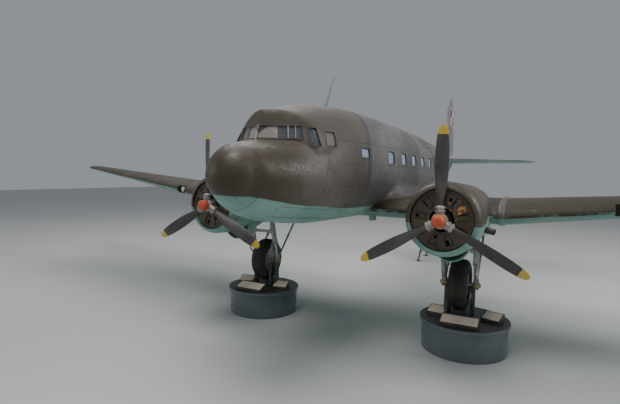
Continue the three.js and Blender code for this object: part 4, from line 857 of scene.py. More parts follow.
tail_places = [0.0, 1.0, 2.2] + [STAB["span"] * (0.86 + 0.14 * math.sin(math.pi / 2 * i / 10)) for i in range(11)]
stab_port = loft("tailplane_skin_port", [stab_ring(x) for x in tail_places])
elevator_port = copy_of(stab_port, "elevator_skin_port")
combine(elevator_port, elevator_block(0), "INTERSECT")
hinge_at = lambda x: spot(x, ELEVATOR["hinge"], STAB["height"])
combine(elevator_port, rod("nose_bar", hinge_at(ELEVATOR["inner"] + 0.04), hinge_at(ELEVATOR["outer"]),
                           elevator_half(ELEVATOR["inner"]), 32, elevator_half(ELEVATOR["outer"])), "UNION")
combine(elevator_port, rod("pin", hinge_at(ELEVATOR["inner"] - 0.066), hinge_at(ELEVATOR["outer"] + 0.066), PIN_RADIUS,
                           16), "UNION")
combine(stab_port, elevator_block(RUNNING_GAP))
combine(stab_port, rod("pin", hinge_at(ELEVATOR["inner"] - 0.067), hinge_at(ELEVATOR["outer"] + 0.067),
                       PIN_RADIUS + 0.0013, 16))
tail_material = wing_paint("tail_paint", BROWN, 0.6, 0.5)
both_sides(stab_port, "tailplane_skin_{}", "root", tail_material, ("tailplane_{}",), 30)
both_sides(elevator_port, "elevator_skin_{}", "elevators", tail_material, ("elevator_{}",), 30)

FIN = (
    # height, leading edge, trailing edge, thickness
    (1.65, 15.1, 19.56, 0.23), (1.95, 15.7, 19.62, 0.23), (2.25, 16.42, 19.65, 0.225),
    (2.8, 16.93, 19.64, 0.215), (3.5, 17.33, 19.54, 0.185), (4.1, 17.69, 19.33, 0.15),
    (4.6, 18.03, 19.04, 0.105), (4.84, 18.33, 18.76, 0.06),
)
RUDDER_HINGE, RUDDER_BOTTOM, RUDDER_TOP = 18.25, 1.905, 4.64


def fin_ring(height):
    le, te, thick = read(FIN, height)
    chord = te - le
    return [spot(side * max(thickness_at(along, thick / chord) * chord, 0.004), le + along * chord, height)
            for along, side in FOIL]


def fin_half(height):
    le, te, thick = read(FIN, height)
    return thickness_at((RUDDER_HINGE - le) / (te - le), thick / (te - le)) * (te - le)


fin_skin = loft("fin_skin", [fin_ring(h) for h in even(1.65, 4.84, 20)])
rudder_skin = copy_of(fin_skin, "rudder_skin")
combine(rudder_skin, slab(-0.4, 0.4, RUDDER_HINGE, 19.85, RUDDER_BOTTOM, 4.94), "INTERSECT")
combine(rudder_skin, rod("nose_bar", spot(0, RUDDER_HINGE, RUDDER_BOTTOM), spot(0, RUDDER_HINGE, RUDDER_TOP),
                         fin_half(RUDDER_BOTTOM), 32, fin_half(RUDDER_TOP)), "UNION")
combine(rudder_skin, rod("pin", spot(0, RUDDER_HINGE, RUDDER_BOTTOM - 0.18), spot(0, RUDDER_HINGE, RUDDER_BOTTOM + 0.1),
                         0.024, 16), "UNION")
combine(fin_skin, slab(-0.4, 0.4, RUDDER_HINGE - fin_half(RUDDER_BOTTOM) - RUNNING_GAP, 19.85, 1.55, 4.94))


def fin_paint():
    """Pale grey with a plain square in four red and white quarters on the rudder."""
    material, tree, shader = new_material("fin_paint")
    where, x, y, z = place_on(tree)
    grey = worn(tree, (0.235, 0.245, 0.25), (0.33, 0.34, 0.345), size=1.0, chips=0.2)
    along, up = y - 8.82, z - 7.2
    reach = abs(along) | abs(up)
    red_at = (reach > 0.4).near(along * up > 0, 0.5)
    colour = mixed(reach < 0.48, grey["Color"], mixed(red_at, (0.62, 0.62, 0.6), (0.42, 0.035, 0.03)))
    lines, rivets = panel_lines(tree, (z, y, 0.36, 0.1))
    colour = mixed(lines * 0.4, colour, (0.05, 0.05, 0.05))
    dress(shader, colour, grey["Roughness"], grey["Height"] + rivets, 0.35)
    return material


fin_material = fin_paint()
finish(fin_skin, "root", fin_material, ("fin",), 30)
finish(rudder_skin, "rudder", fin_material, ("rudder",), 30)


# ---- Engines, cowlings and shutter discs ----
# On each side a nine-cylinder radial engine with finned barrels sits in a ring cowling of rolled sheet, held by
# straps. A pressed winter disc with nine radial slots, half closed by a second disc, is bolted in its mouth.
def turned(name, profile, axis, sides=64):
    """Spins a profile of (radius, place along the axis) rows about an axis through the origin."""
    out = Vector((1, 0, 0)) if axis[2] else Vector((0, 0, 1))
    points = [Vector(axis) * along + out * radius for radius, along in profile]
    links = [(i, i + 1) for i in range(len(points) - 1)]
    if profile[0][0] > 0:
        links.append((len(points) - 1, 0))
    mesh = bpy.data.meshes.new(name)
    mesh.from_pydata(points, links, [])
    piece = linked(name, mesh)
    select(piece)
    bpy.ops.object.mode_set(mode="EDIT")
    bpy.ops.mesh.select_all(action="SELECT")
    bpy.ops.mesh.spin(steps=sides, angle=math.tau, center=(0, 0, 0), axis=axis)
    bpy.ops.mesh.select_all(action="SELECT")
    bpy.ops.mesh.remove_doubles(threshold=1e-6)
    bpy.ops.mesh.normals_make_consistent(inside=False)
    bpy.ops.object.mode_set(mode="OBJECT")
    return piece


def moved(piece, place=(0, 0, 0), turn=None):
    piece.data.transform(Matrix.Translation(place) @ (turn or Matrix()))
    return piece


def joined(name, pieces):
    """One piece from several, without cutting them together."""
    bpy.ops.object.select_all(action="DESELECT")
    for piece in pieces:
        piece.select_set(True)
    bpy.context.view_layer.objects.active = pieces[0]
    bpy.ops.object.join()
    pieces[0].name = name
    return pieces[0]


def on_axis(name, profile, sides=96):
    """A piece turned about the port engine's shaft; places are behind the propeller."""
    return moved(turned(name, profile, (0, 1, 0), sides), spot(ENGINE_X, PROP_STATION, 0))


def coated(name, paint, faded, grime=(0.05, 0.045, 0.04), size=2.0, chips=0.3, metallic=0.0, strength=0.3):
    """A worn finish without panel lines."""
    material, tree, shader = new_material(name, metallic)
    look = worn(tree, paint, faded, grime, size, chips)
    dress(shader, look["Color"], look["Roughness"], look["Height"], strength, 0.002)
    return material


def turn_of(part, axis="Y"):
    """A part of a full turn about an axis."""
    return Matrix.Rotation(math.tau * part, 4, axis)


def round_shaft(part, radius, behind):
    """A point beside the port shaft: part of a turn from straight up, and a distance behind the propeller."""
    return spot(ENGINE_X, PROP_STATION + behind, 0) + turn_of(part) @ Vector((0, 0, radius))


COWL_RADIUS, COWL_LIP = 0.735, 0.61
lip_arc = [(COWL_LIP + (COWL_RADIUS - COWL_LIP) * math.sin(math.pi / 2 * t),
            0.13 + 0.2 * (1 - math.cos(math.pi / 2 * t))) for t in even(0, 1, 12)]
strap = lambda at, radius: [(radius, at - 0.02), (radius + 0.005, at - 0.016), (radius + 0.005, at + 0.016),
                            (radius, at + 0.02)]
cowl = on_axis("cowling_skin_port", [*lip_arc, (0.735, 0.344), (0.718, 0.347), (0.718, 0.364),
                                     (0.735, 0.367), *strap(0.56, COWL_RADIUS), (0.734, 0.76), (0.732, 0.8),
                                     (0.719, 1.078), (0.711, 1.078), (0.713, 0.9), (0.697, 0.8), (0.697, 0.38),
                                     (0.606, 0.19)], 120)


def engine_paint(name, split, split_rear, ahead, behind, ring_pitch, ring_offset):
    """Brown above and turquoise below, parted at one height ahead and another behind."""
    material, tree, shader = new_material(name)
    where, x, y, z = place_on(tree)
    height = z - SHAFT_HEIGHT
    around = height.step("ARCTAN2", abs(x) - ENGINE_X) * COWL_RADIUS
    above = worn(tree, (0.062, 0.048, 0.03), (0.094, 0.077, 0.056), size=1.3, chips=0.35)
    below = worn(tree, *TURQUOISE, size=1.3, chips=0.3)
    edge = ranged(y, ahead - LENGTH / 2, behind - LENGTH / 2, split, split_rear)
    share = ranged(height + (noise(where, 5, 3) * 0.03 - 0.015) - edge, -0.008, 0.008)
    lines, rivets = panel_lines(tree, (around, y, 0.7697, 0.17), (y, around, ring_pitch, ring_offset))
    # The ring groove in the cowling is painted dark across its width: painted shade in the recess
    groove_shade = y.near(PROP_STATION + 0.3555 - LENGTH / 2, 0.0105)
    colour = mixed((lines | groove_shade) * 0.7, mixed(share, below["Color"], above["Color"]), (0.016, 0.014, 0.012))
    dress(shader, colour, above["Roughness"] - 0.1, above["Height"] + rivets - lines, 0.4, 0.004)
    return material


cowl_material = engine_paint("cowl_paint", -0.09, -0.09, 3, 5, 0.36, PROP_STATION - LENGTH / 2 + 0.04)
both_sides(cowl, "cowling_skin_{}", "root", cowl_material, ("cowling_{}",), 30)


def trapezoid(name, r0, r1, half0, half1, low, high, part, skew=0.0):
    """A radial block with a narrow inner end, part of a turn from straight up, between two places on the shaft."""
    rings = [[spot(ENGINE_X, PROP_STATION + y, 0) + turn_of(part) @ Vector((x + skew, 0, r)) for x, r in
              ((-half0, r0), (half0, r0), (half1, r1), (-half1, r1))] for y in (low, high)]
    return bevelled(loft(name, rings), 0.012, lambda way: abs(way.y) > high - low - 0.001)


DISC_FRONT, SLOT_COUNT = 0.19, 9
at_disc = lambda name, rows: on_axis(name, [(radius, DISC_FRONT + behind) for radius, behind in rows], 108)
disc = at_disc("shutter_plate_port", [
    (0.232, 0), (0.238, -0.01), (0.252, -0.01), (0.258, 0), (0.548, 0), (0.554, -0.006), (0.592, -0.006),
    (0.598, 0.002), (0.598, 0.02), (0.56, 0.008), (0.232, 0.008)])
back_disc = at_disc("shutter_back_port", [(0.232, 0.014), (0.56, 0.014), (0.56, 0.02), (0.232, 0.02)])
combine(disc, trapezoid("hole", 0.385, 0.455, 0.026, 0.026, DISC_FRONT - 0.05, DISC_FRONT + 0.012, 0.38 / math.tau))
combine(back_disc, trapezoid("hole", 0.385, 0.455, 0.026, 0.026, DISC_FRONT, DISC_FRONT + 0.05, 0.38 / math.tau))
# Where the second disc's openings show in each slot: inner and outer radius, half width, shift to the side
OPENINGS = ((0.42, 0.5, 0.022, 0.03), (0.32, 0.46, 0.01, -0.048), (0.32, 0.48, 0.01, -0.048), (0.32, 0.5, 0.01, 0.0),
            (0.405, 0.5, 0.03, 0.03), (0.325, 0.385, 0.024, -0.01), (0.4, 0.5, 0.022, -0.01),
            (0.445, 0.505, 0.026, -0.02), (0.36, 0.505, 0.01, -0.052))
rims = []
for i, (r0, r1, half, shift) in enumerate(OPENINGS):
    part = i / SLOT_COUNT
    rim = trapezoid("slot_rim", 0.294, 0.521, 0.055, 0.088, DISC_FRONT - 0.005, DISC_FRONT + 0.004, part)
    rims.append(combine(rim, trapezoid("hole", 0.305, 0.51, 0.044, 0.077, -0.1, 0.5, part)))
    combine(disc, trapezoid("slot", 0.305, 0.51, 0.044, 0.077, DISC_FRONT - 0.05, DISC_FRONT + 0.015, part))
    combine(back_disc, trapezoid("slot", r0, r1, half, half, DISC_FRONT, DISC_FRONT + 0.05, part, shift))
studs = [rod("stud", round_shaft((i + 0.5) / 36, 0.567, DISC_FRONT - 0.002),
             round_shaft((i + 0.5) / 36, 0.567, DISC_FRONT - 0.011), 0.006, 8, 0.0035) for i in range(36)]
disc = joined("shutter_plate_port", [disc, back_disc, *studs])
slot_seals = joined("slot_seals_port", rims)


def disc_paint():
    """Olive-brown, with orange undercoat bared in flakes on the outboard upper part."""
    material, tree, shader = new_material("disc_paint")
    where = place_on(tree)[0]
    look = worn(tree, (0.072, 0.058, 0.034), (0.104, 0.086, 0.057), size=2.2, chips=0.2)
    away = put(tree, "VectorMath", {0: where, 1: spot(ENGINE_X + 0.255, PROP_STATION + 0.19, 0.215)}, "Value",
               operation="DISTANCE")
    flakes = ranged(away, 0.13, 0.22, 1, 0) * ranged(noise(where, 13, 3, 0.5), 0.555, 0.57)
    colour = mixed(flakes, look["Color"], (0.62, 0.25, 0.07))
    dress(shader, colour, look["Roughness"], look["Height"] - flakes, 0.35, 0.003)
    return material


both_sides(disc, "shutter_plate_{}", "root", disc_paint(), ("shutter_disc_{}",), 30)
# The slot rims are near-black: painted shade in the thin gap round each slot
both_sides(slot_seals, "slot_seals_{}", "root", coated(
    "slot_rim_shade", (0.016, 0.014, 0.01), (0.03, 0.026, 0.019), size=6, chips=0.05))

# Engine: nose case with its ring of nuts, crankcase and finned cylinders
case = on_axis("engine_case_port", [(0, 0.098), (0.06, 0.1), (0.1, 0.104), (0.122, 0.118), (0.132, 0.14), (0.15, 0.146),
                                    (0.15, 0.16), (0.134, 0.164), (0.15, 0.23), (0.235, 0.3), (0.25, 0.33),
                                    (0.25, 0.52), (0.2, 0.56), (0, 0.56)], 64)
fins = [(0, 0.24)]
for i in range(16):
    at = 0.262 + 0.0185 * i
    fins += [(0.06, at), (0.086 - 0.0004 * i, at + 0.002), (0.086 - 0.0004 * i, at + 0.005), (0.06, at + 0.007)]
fins += [(0.074, 0.56), (0.074, 0.61), (0.06, 0.63), (0, 0.63)]
engine_parts = [case]
for i in range(9):
    engine_parts.append(moved(turned("cylinder", fins, (0, 0, 1), 20), spot(ENGINE_X, PROP_STATION + 0.43, 0),
                              turn_of((i + 0.5) / 9)))
for i in range(12):
    engine_parts.append(rod("nut", round_shaft(i / 12, 0.141, 0.146), round_shaft(i / 12, 0.141, 0.136), 0.0065, 6))
baffle = on_axis("baffle", [(0.24, 0.5), (0.69, 0.5), (0.69, 0.506), (0.24, 0.506)], 64)
shaft = on_axis("shaft", [(0, 0.04), (0.04, 0.041), (0.04, 0.11), (0, 0.11)], 32)
engine = joined("engine_metal_port", [*engine_parts, baffle, shaft])
both_sides(engine, "engine_metal_{}", "root", coated(
    "engine_metal", (0.065, 0.065, 0.066), (0.13, 0.125, 0.12), (0.02, 0.018, 0.016), 6, 0.2, 0.75),
    ("engine_{}",), 25)


# ---- Nacelles ----
# The streamlined body behind each engine, open below for the half-sunk wheel, with the oil cooler's scoop under
# its front and a round exhaust stub on the outboard side.
FIREWALL = PROP_STATION + 1.02
NACELLE = (
    # station, middle height, half width, half height
    (FIREWALL, 0, 0.655, 0.655), (PROP_STATION + 1.5, -0.02, 0.69, 0.69),
    (PROP_STATION + 2.3, -0.03, 0.69, 0.7), (PROP_STATION + 3.3, -0.02, 0.6, 0.62),
    (PROP_STATION + 4.4, 0, 0.47, 0.48), (PROP_STATION + 5.4, 0.02, 0.3, 0.3),
    (PROP_STATION + 6.3, 0.01, 0.11, 0.11),
)


def nacelle_ring(station, grow=0.0):
    middle, half, tall = read(NACELLE, station)
    return [spot(ENGINE_X + (half + grow) * math.cos(t), station, middle + (tall + grow) * math.sin(t))
            for t in even(0, math.tau, 72)[:-1]]


def nacelle_hull(grow=0.0):
    stations = even(FIREWALL, PROP_STATION + 6.3, 42)
    rounded = [(PROP_STATION + 6.3 + 0.08 * math.sin(t), math.cos(t)) for t in even(0.3, 1.5, 4)]
    rings = [nacelle_ring(s, grow) for s in stations]
    middle = spot(ENGINE_X, 0, 0.01)
    for station, share in rounded:
        rings.append([Vector((middle.x + (p.x - middle.x) * share, station - LENGTH / 2,
                              middle.z + (p.z - middle.z) * share)) for p in rings[len(stations) - 1]])
    return loft("nacelle_skin_port", rings)


SCOOP_TOP, SCOOP_LOW, SCOOP_FRONT = -0.44, -0.985, 4.23


def scoop_ring(half, station, low):
    return [spot(ENGINE_X + half * math.cos(t), station, SCOOP_TOP - (low - SCOOP_TOP) * math.sin(t))
            for t in even(math.pi, math.tau, 40)]


nacelle = nacelle_hull()
lip = [(0.44, SCOOP_FRONT - 0.012, SCOOP_LOW + 0.014), (0.452, SCOOP_FRONT, SCOOP_LOW + 0.003),
       (0.455, SCOOP_FRONT + 0.02, SCOOP_LOW), (0.43, SCOOP_FRONT + 0.25, SCOOP_LOW - 0.005),
       (0.39, SCOOP_FRONT + 0.4, SCOOP_LOW + 0.02), (0.32, 4.8, SCOOP_LOW + 0.075), (0.24, 4.93, SCOOP_LOW + 0.175),
       (0.12, 5.08, SCOOP_LOW + 0.33)]
combine(nacelle, loft("scoop", [scoop_ring(*row) for row in lip]), "UNION")
mouth = loft("mouth", [scoop_ring(0.428, SCOOP_FRONT - 0.03, SCOOP_LOW + 0.026),
                       scoop_ring(0.37, SCOOP_FRONT + 0.33, SCOOP_LOW + 0.06)])
combine(mouth, nacelle_hull(-0.012))
combine(nacelle, mouth)
WELL = {"front": PROP_STATION + 1.75, "rear": PROP_STATION + 3.15, "half": 0.46, "roof": -0.33}
combine(nacelle, slab(ENGINE_X - WELL["half"], ENGINE_X + WELL["half"], WELL["front"], WELL["rear"],
                      -1.2, WELL["roof"]))
combine(nacelle, wing_loft("wing_air", [1.5, JOINT_X + 0.06], 0.0015))
combine(nacelle, wing_loft("wing_air", [JOINT_X, JOINT_X + 0.4], 0.0015))
nacelle_material = engine_paint("nacelle_paint", -0.1, 0.0, 4.1, 4.75, 0.62, PROP_STATION - LENGTH / 2 + 1.3)
both_sides(nacelle, "nacelle_skin_{}", "root", nacelle_material, ("nacelle_{}",), 30)

# Oil cooler in the scoop: a honeycomb block whose cell centres are painted near-black, as painted shade deep in the
# cells
cooler = loft("oil_cooler_port", [scoop_ring(0.395, SCOOP_FRONT + 0.2, SCOOP_LOW + 0.046),
                                  scoop_ring(0.385, SCOOP_FRONT + 0.25, SCOOP_LOW + 0.05)])
combine(cooler, nacelle_hull(-0.008))
grid_paint, tree, shader = new_material("cooler_metal", 0.8)
cells = put(tree, "TexVoronoi", {"Vector": place_on(tree)[0], "Scale": 120}, "Distance")
dress(shader, mixed(ranged(cells, 0.25, 0.5), (0.006, 0.006, 0.006), (0.1, 0.1, 0.09)), 0.6, cells, 0.6, 0.003)
both_sides(cooler, "oil_cooler_{}", "root", grid_paint)

# Exhaust stub with its flange, and a soot-black inside
stub_start = spot(ENGINE_X + 0.5, PROP_STATION + 1.44, -0.24)
stub_end = spot(ENGINE_X + 0.845, PROP_STATION + 1.37, -0.3)
stub_long = (stub_end - stub_start).length
stub = turned("exhaust_port", [(0, 0), (0.066, 0), (0.066, stub_long - 0.16), (0.078, stub_long - 0.155),
                               (0.078, stub_long - 0.14), (0.066, stub_long - 0.135), (0.067, stub_long - 0.012),
                               (0.07, stub_long - 0.004), (0.066, stub_long), (0.06, stub_long - 0.004),
                               (0.059, stub_long - 0.2), (0, stub_long - 0.21)], (0, 0, 1), 40)
moved(stub, stub_start, (stub_end - stub_start).to_track_quat("Z", "Y").to_matrix().to_4x4())
both_sides(stub, "exhaust_{}", "root", coated(
    "soot_metal", (0.06, 0.056, 0.048), (0.105, 0.098, 0.084), (0.004, 0.004, 0.004), 3, 0.05, 0.4))


# ---- Propellers ----
# Three forged alloy blades, black-grey with yellow tips, clamped in the bare metal barrel of a hub by split rings.
# The pitch cylinder ahead of the barrel has an orange-red domed cover.
BLADE = (
    # radius, chord, thickness, pitch in degrees
    (0.15, 0.11, 0.11, 62), (0.33, 0.15, 0.09, 55), (0.6, 0.235, 0.06, 45), (0.9, 0.275, 0.044, 36),
    (1.25, 0.265, 0.032, 28), (1.55, 0.225, 0.023, 23), (1.72, 0.165, 0.016, 21), (1.785, 0.095, 0.012, 20),
    (1.8, 0.03, 0.009, 20),
)


def blade_ring(radius):
    chord, thick, pitch = read(BLADE, radius)
    angle = math.radians(pitch)
    # Round at the root, then flat behind and arched in front
    flat = min(max((radius - 0.3) / 0.25, 0), 1)
    ring = []
    for i in range(28):
        c, s = math.cos(math.tau * i / 28), math.sin(math.tau * i / 28)
        rear = s > 0
        u, v = chord / 2 * c, thick / 2 * s * (1 - 0.55 * flat if rear else 1 + 0.35 * flat)
        ring.append(Vector((u * math.cos(angle) - v * math.sin(angle),
                            u * math.sin(angle) + v * math.cos(angle), radius)))
    return ring


blade_places = [0.15, 0.2, 0.25, *even(0.3, 1.7, 24), 1.73, 1.755, 1.772, 1.784, 1.792, 1.797, 1.8]
one_blade = loft("blade", [blade_ring(r) for r in blade_places])
hub = on_axis("hub", [
    (0, -0.09), (0.098, -0.09), (0.104, -0.084), (0.108, -0.07), (0.14, -0.056), (0.15, -0.045), (0.152, -0.006),
    (0.158, -0.004), (0.158, 0.004), (0.152, 0.006), (0.15, 0.045), (0.14, 0.056), (0.108, 0.07), (0.1, 0.088),
    (0.0405, 0.09), (0.0405, 0.0397), (0, 0.0397)], 64)
# Socket with two split clamp rings, turned along the blade
socket = turned("socket", [
    (0, 0.06), (0.084, 0.06), (0.084, 0.168), (0.092, 0.172), (0.094, 0.176), (0.094, 0.198), (0.092, 0.202),
    (0.083, 0.205), (0.082, 0.226), (0.09, 0.23), (0.092, 0.234), (0.092, 0.262), (0.089, 0.267), (0.078, 0.272),
    (0.074, 0.282), (0.066, 0.29), (0, 0.29)], (0, 0, 1), 48)
for turn_by in (0.6, 0.6 + math.pi):
    for height in (0.187, 0.248):
        ear = box("ear", (0.086, -0.017, height - 0.011), (0.112, 0.017, height + 0.011))
        bolt = rod("bolt", (0.1, -0.026, height), (0.1, 0.026, height), 0.0065, 6)
        for part in (ear, bolt):
            part.data.transform(Matrix.Rotation(turn_by, 4, "Z"))
        socket = joined("socket", [socket, ear, bolt])
blades, metal = [], [hub]
for i in range(3):
    for made, one in ((blades, one_blade), (metal, socket)):
        made.append(moved(copy_of(one, one.name), spot(ENGINE_X, PROP_STATION, 0), turn_of(i / 3)))
    for turn_more in (-0.3, 0.3):
        part = (i + 0.5) / 3 + turn_more / math.tau
        metal.append(rod("bolt", round_shaft(part, 0.128, -0.04), round_shaft(part, 0.128, -0.082), 0.009, 6))
bpy.data.objects.remove(one_blade)
bpy.data.objects.remove(socket)
dome = on_axis("propeller_cap_port", [(0, -0.0903), (0.11, -0.0903), (0.124, -0.094), (0.134, -0.099), (0.134, -0.115),
                                      (0.13, -0.119), *[(0.13 * math.cos(math.pi / 2 * t) ** 0.5, -0.15 - 0.1
                                                          * math.sin(math.pi / 2 * t)) for t in even(0, 0.97, 16)],
                                      (0.022, -0.2492), (0.022, -0.25), (0, -0.25)], 64)


def blade_finish():
    """Dark grey with pale stone chips that grow towards the tip, and a yellow tip."""
    material, tree, shader = new_material("blade_paint")
    where, x, y, z = place_on(tree)
    out, up = abs(x) - ENGINE_X, z - SHAFT_HEIGHT
    radius = (out * out + up * up).step("SQRT")
    # The tip line is square to each blade, so it is taken from the blade's own direction
    along = up
    for i in (1, 2):
        along = along | out * math.sin(math.tau * i / 3) + up * math.cos(math.tau * i / 3)
    look = worn(tree, (0.05, 0.045, 0.043), (0.08, 0.071, 0.066), (0.03, 0.027, 0.024), 2.4, 0.25)
    yellow = worn(tree, (0.62, 0.42, 0.03), (0.66, 0.48, 0.09), (0.2, 0.14, 0.05), 3.0, 0.3)
    stone_chips = ranged(noise(where, 35, 4), 0.66, 0.7) * ranged(radius, 0.5, 1.6, 0, 0.7)
    colour = mixed(stone_chips, mixed(ranged(along, 1.618, 1.622), look["Color"], yellow["Color"]), (0.3, 0.3, 0.3))
    dress(shader, colour, look["Roughness"] - 0.08, look["Height"], 0.2, 0.002)
    return material


both_sides(joined("propeller_blades_port", blades), "propeller_blades_{}", "propeller_{}",
           blade_finish(), ("propeller_{}",), 50)
hub_metal = coated("hub_metal", (0.36, 0.33, 0.29), (0.5, 0.46, 0.41), (0.1, 0.07, 0.045), 7, 0.2, 0.85)
both_sides(joined("propeller_hub_port", metal), "propeller_hub_{}", "propeller_{}", hub_metal)
both_sides(dome, "propeller_cap_{}", "propeller_{}", coated(
    "dome_paint", (0.52, 0.075, 0.028), (0.68, 0.16, 0.075), (0.22, 0.05, 0.03), 5, 0.15),
    ("propeller_dome_{}",), 30)


# ---- Main gear ----
# Two shock legs and two drag struts straddle each big wheel and meet at sleeves on its axle. The legs are painted
# steel over bright pistons, with torque links, cross tubes and brake pipes; they are bolted up inside the nacelle.
AXLE_STATION, AXLE_HEIGHT, LEG_X, SLEEVE = PROP_STATION + 2.7, -1.77, 0.37, 0.105
LEG_TOP, DRAG_TOP, OLEO_HEIGHT = (PROP_STATION + 2.3, -0.3), (PROP_STATION + 3.9, -0.48), -1.25
wheel_spot = lambda x, station=AXLE_STATION, height=AXLE_HEIGHT: spot(ENGINE_X + x, station, height)


def on_strut(top, height):
    share = (height - AXLE_HEIGHT) / (top[1] - AXLE_HEIGHT)
    return AXLE_STATION + share * (top[0] - AXLE_STATION)


def strut(name, start, end, rows, sides=40):
    """A turned strut between two points; rows are a radius and a part of its length."""
    start, end = Vector(start), Vector(end)
    long = (end - start).length
    piece = turned(name, [(radius, part * long) for radius, part in rows], (0, 0, 1), sides)
    return moved(piece, start, (end - start).to_track_quat("Z", "Y").to_matrix().to_4x4())


def pipe(name, points, radius):
    """A thin bent pipe through some points."""
    curve = bpy.data.curves.new(name, "CURVE")
    curve.dimensions = "3D"
    curve.bevel_depth = radius
    curve.bevel_resolution = 3
    curve.use_fill_caps = True
    line = curve.splines.new("BEZIER")
    line.bezier_points.add(len(points) - 1)
    for knot, point in zip(line.bezier_points, points):
        knot.co = point
        knot.handle_left_type = knot.handle_right_type = "AUTO"
    select(linked(name, curve))
    bpy.ops.object.convert(target="MESH")
    return bpy.context.object


painted, bright, sleeve_parts = [], [], []
for side in (-1, 1):
    x = side * LEG_X
    low, middle, top = (wheel_spot(x), wheel_spot(x, on_strut(LEG_TOP, OLEO_HEIGHT), OLEO_HEIGHT),
                        wheel_spot(x, *LEG_TOP))
    bright.append(strut("piston", low, middle, [(0, 0), (0.05, 0), (0.05, 1.03), (0, 1.03)]))
    painted.append(strut("leg", middle, top, [
        (0, 0), (0.06, 0), (0.08, 0.006), (0.082, 0.012), (0.082, 0.045), (0.078, 0.052), (0.072, 0.058), (0.072, 0.34),
        (0.076, 0.345), (0.076, 0.365), (0.072, 0.37), (0.072, 0.93), (0.06, 1), (0, 1)]))
    # Fork end that grips the axle sleeve
    painted.append(strut("fork_end", low, middle, [
        (0, 0.14), (0.062, 0.14), (0.064, 0.155), (0.064, 0.3), (0.052, 0.34), (0, 0.34)]))
    sleeve = turned("sleeve", [
        (0.0455, -0.075), (0.085, -0.075), (0.098, -0.068), (0.105, -0.058), (0.105, -0.02), (0.1, -0.016),
        (0.1, 0.016), (0.105, 0.02), (0.105, 0.048), (0.098, 0.058), (0.085, 0.065), (0.0455, 0.065)], (1, 0, 0), 48)
    nut = turned("axle_nut", [(0, 0.06), (0.062, 0.06), (0.062, 0.082), (0.04, 0.088), (0.04, 0.104), (0, 0.108)],
                 (1, 0, 0), 6)
    for part in (sleeve, nut):
        sleeve_parts.append(moved(mirrored(part) if side < 0 else part, wheel_spot(x)))
    drag_top = wheel_spot(x, *DRAG_TOP)
    painted.append(strut("drag", low, drag_top, [
        (0, 0.03), (0.034, 0.03), (0.036, 0.1), (0.028, 0.14), (0.028, 0.48), (0.04, 0.485), (0.044, 0.5),
        (0.04, 0.515), (0.028, 0.52), (0.03, 0.97), (0, 0.97)], 28))
    # Torque links: two forked arms ahead of the leg, meeting at a knee
    knee = wheel_spot(x, on_strut(LEG_TOP, -1.42) - 0.25, -1.43)
    upper_foot, lower_foot = (wheel_spot(x, on_strut(LEG_TOP, -1.2) - 0.07, -1.2),
                              wheel_spot(x, on_strut(LEG_TOP, -1.64) - 0.06, -1.64))
    for foot in (upper_foot, lower_foot):
        for spread in (-0.035, 0.035):
            shift = Vector((spread, 0, 0))
            painted.append(rod("link", foot + shift, knee + shift * 0.5, 0.016, 12, 0.011))
    bright.append(rod("knee_pin", knee - Vector((0.04, 0, 0)), knee + Vector((0.04, 0, 0)), 0.014, 12))
    # Brake pipe down the back of the leg
    back = lambda height, off: wheel_spot(x + 0.03 * side, on_strut(LEG_TOP, height) + off, height)
    bright.append(pipe("brake_pipe", [
        back(-0.34, 0.06), back(-0.7, 0.085), back(-1.1, 0.088), back(-1.3, 0.12), back(-1.48, 0.13), back(-1.62, 0.1),
        wheel_spot(x - 0.03 * side, AXLE_STATION + 0.02, AXLE_HEIGHT + 0.1)], 0.007))
    for height in (-0.55, -0.85, -1.15):
        low, high = (wheel_spot(x, on_strut(LEG_TOP, h), h) for h in (height - 0.012, height + 0.012))
        painted.append(strut("clip", low, high, [(0, 0), (0.0765, 0), (0.0765, 1), (0, 1)]))
bright.append(rod("axle", wheel_spot(-LEG_X), wheel_spot(LEG_X), 0.045, 40))
for station, height, radius in ((on_strut(LEG_TOP, -0.9), -0.9, 0.042), (on_strut(LEG_TOP, -0.5), -0.5, 0.042),
                                (on_strut(DRAG_TOP, -0.7), -0.7, 0.03)):
    painted.append(strut("cross_tube", wheel_spot(-LEG_X, station, height), wheel_spot(LEG_X, station, height),
                                 [(0, 0), (radius * 1.35, 0), (radius * 1.35, 0.17), (radius, 0.2), (radius, 0.8),
                                  (radius * 1.35, 0.83), (radius * 1.35, 1), (0, 1)], 28))
gear_grey = coated("gear_paint", (0.27, 0.29, 0.29), (0.4, 0.42, 0.42), (0.09, 0.075, 0.055), 3.5, 0.4, 0.1)
bright_steel = coated("bright_steel", (0.52, 0.53, 0.53), (0.66, 0.66, 0.65), (0.14, 0.11, 0.08), 4, 0.1, 0.9)
bronze = coated("gear_bronze", (0.34, 0.25, 0.16), (0.46, 0.37, 0.26), (0.1, 0.07, 0.04), 5, 0.3, 0.6)
both_sides(joined("gear_legs_port", painted), "gear_legs_{}", "root", gear_grey,
           ("main_gear_{}",), 30)
both_sides(joined("gear_pistons_port", bright), "gear_pistons_{}", "root", bright_steel)
both_sides(joined("gear_sleeves_port", sleeve_parts), "gear_sleeves_{}", "root", bronze)


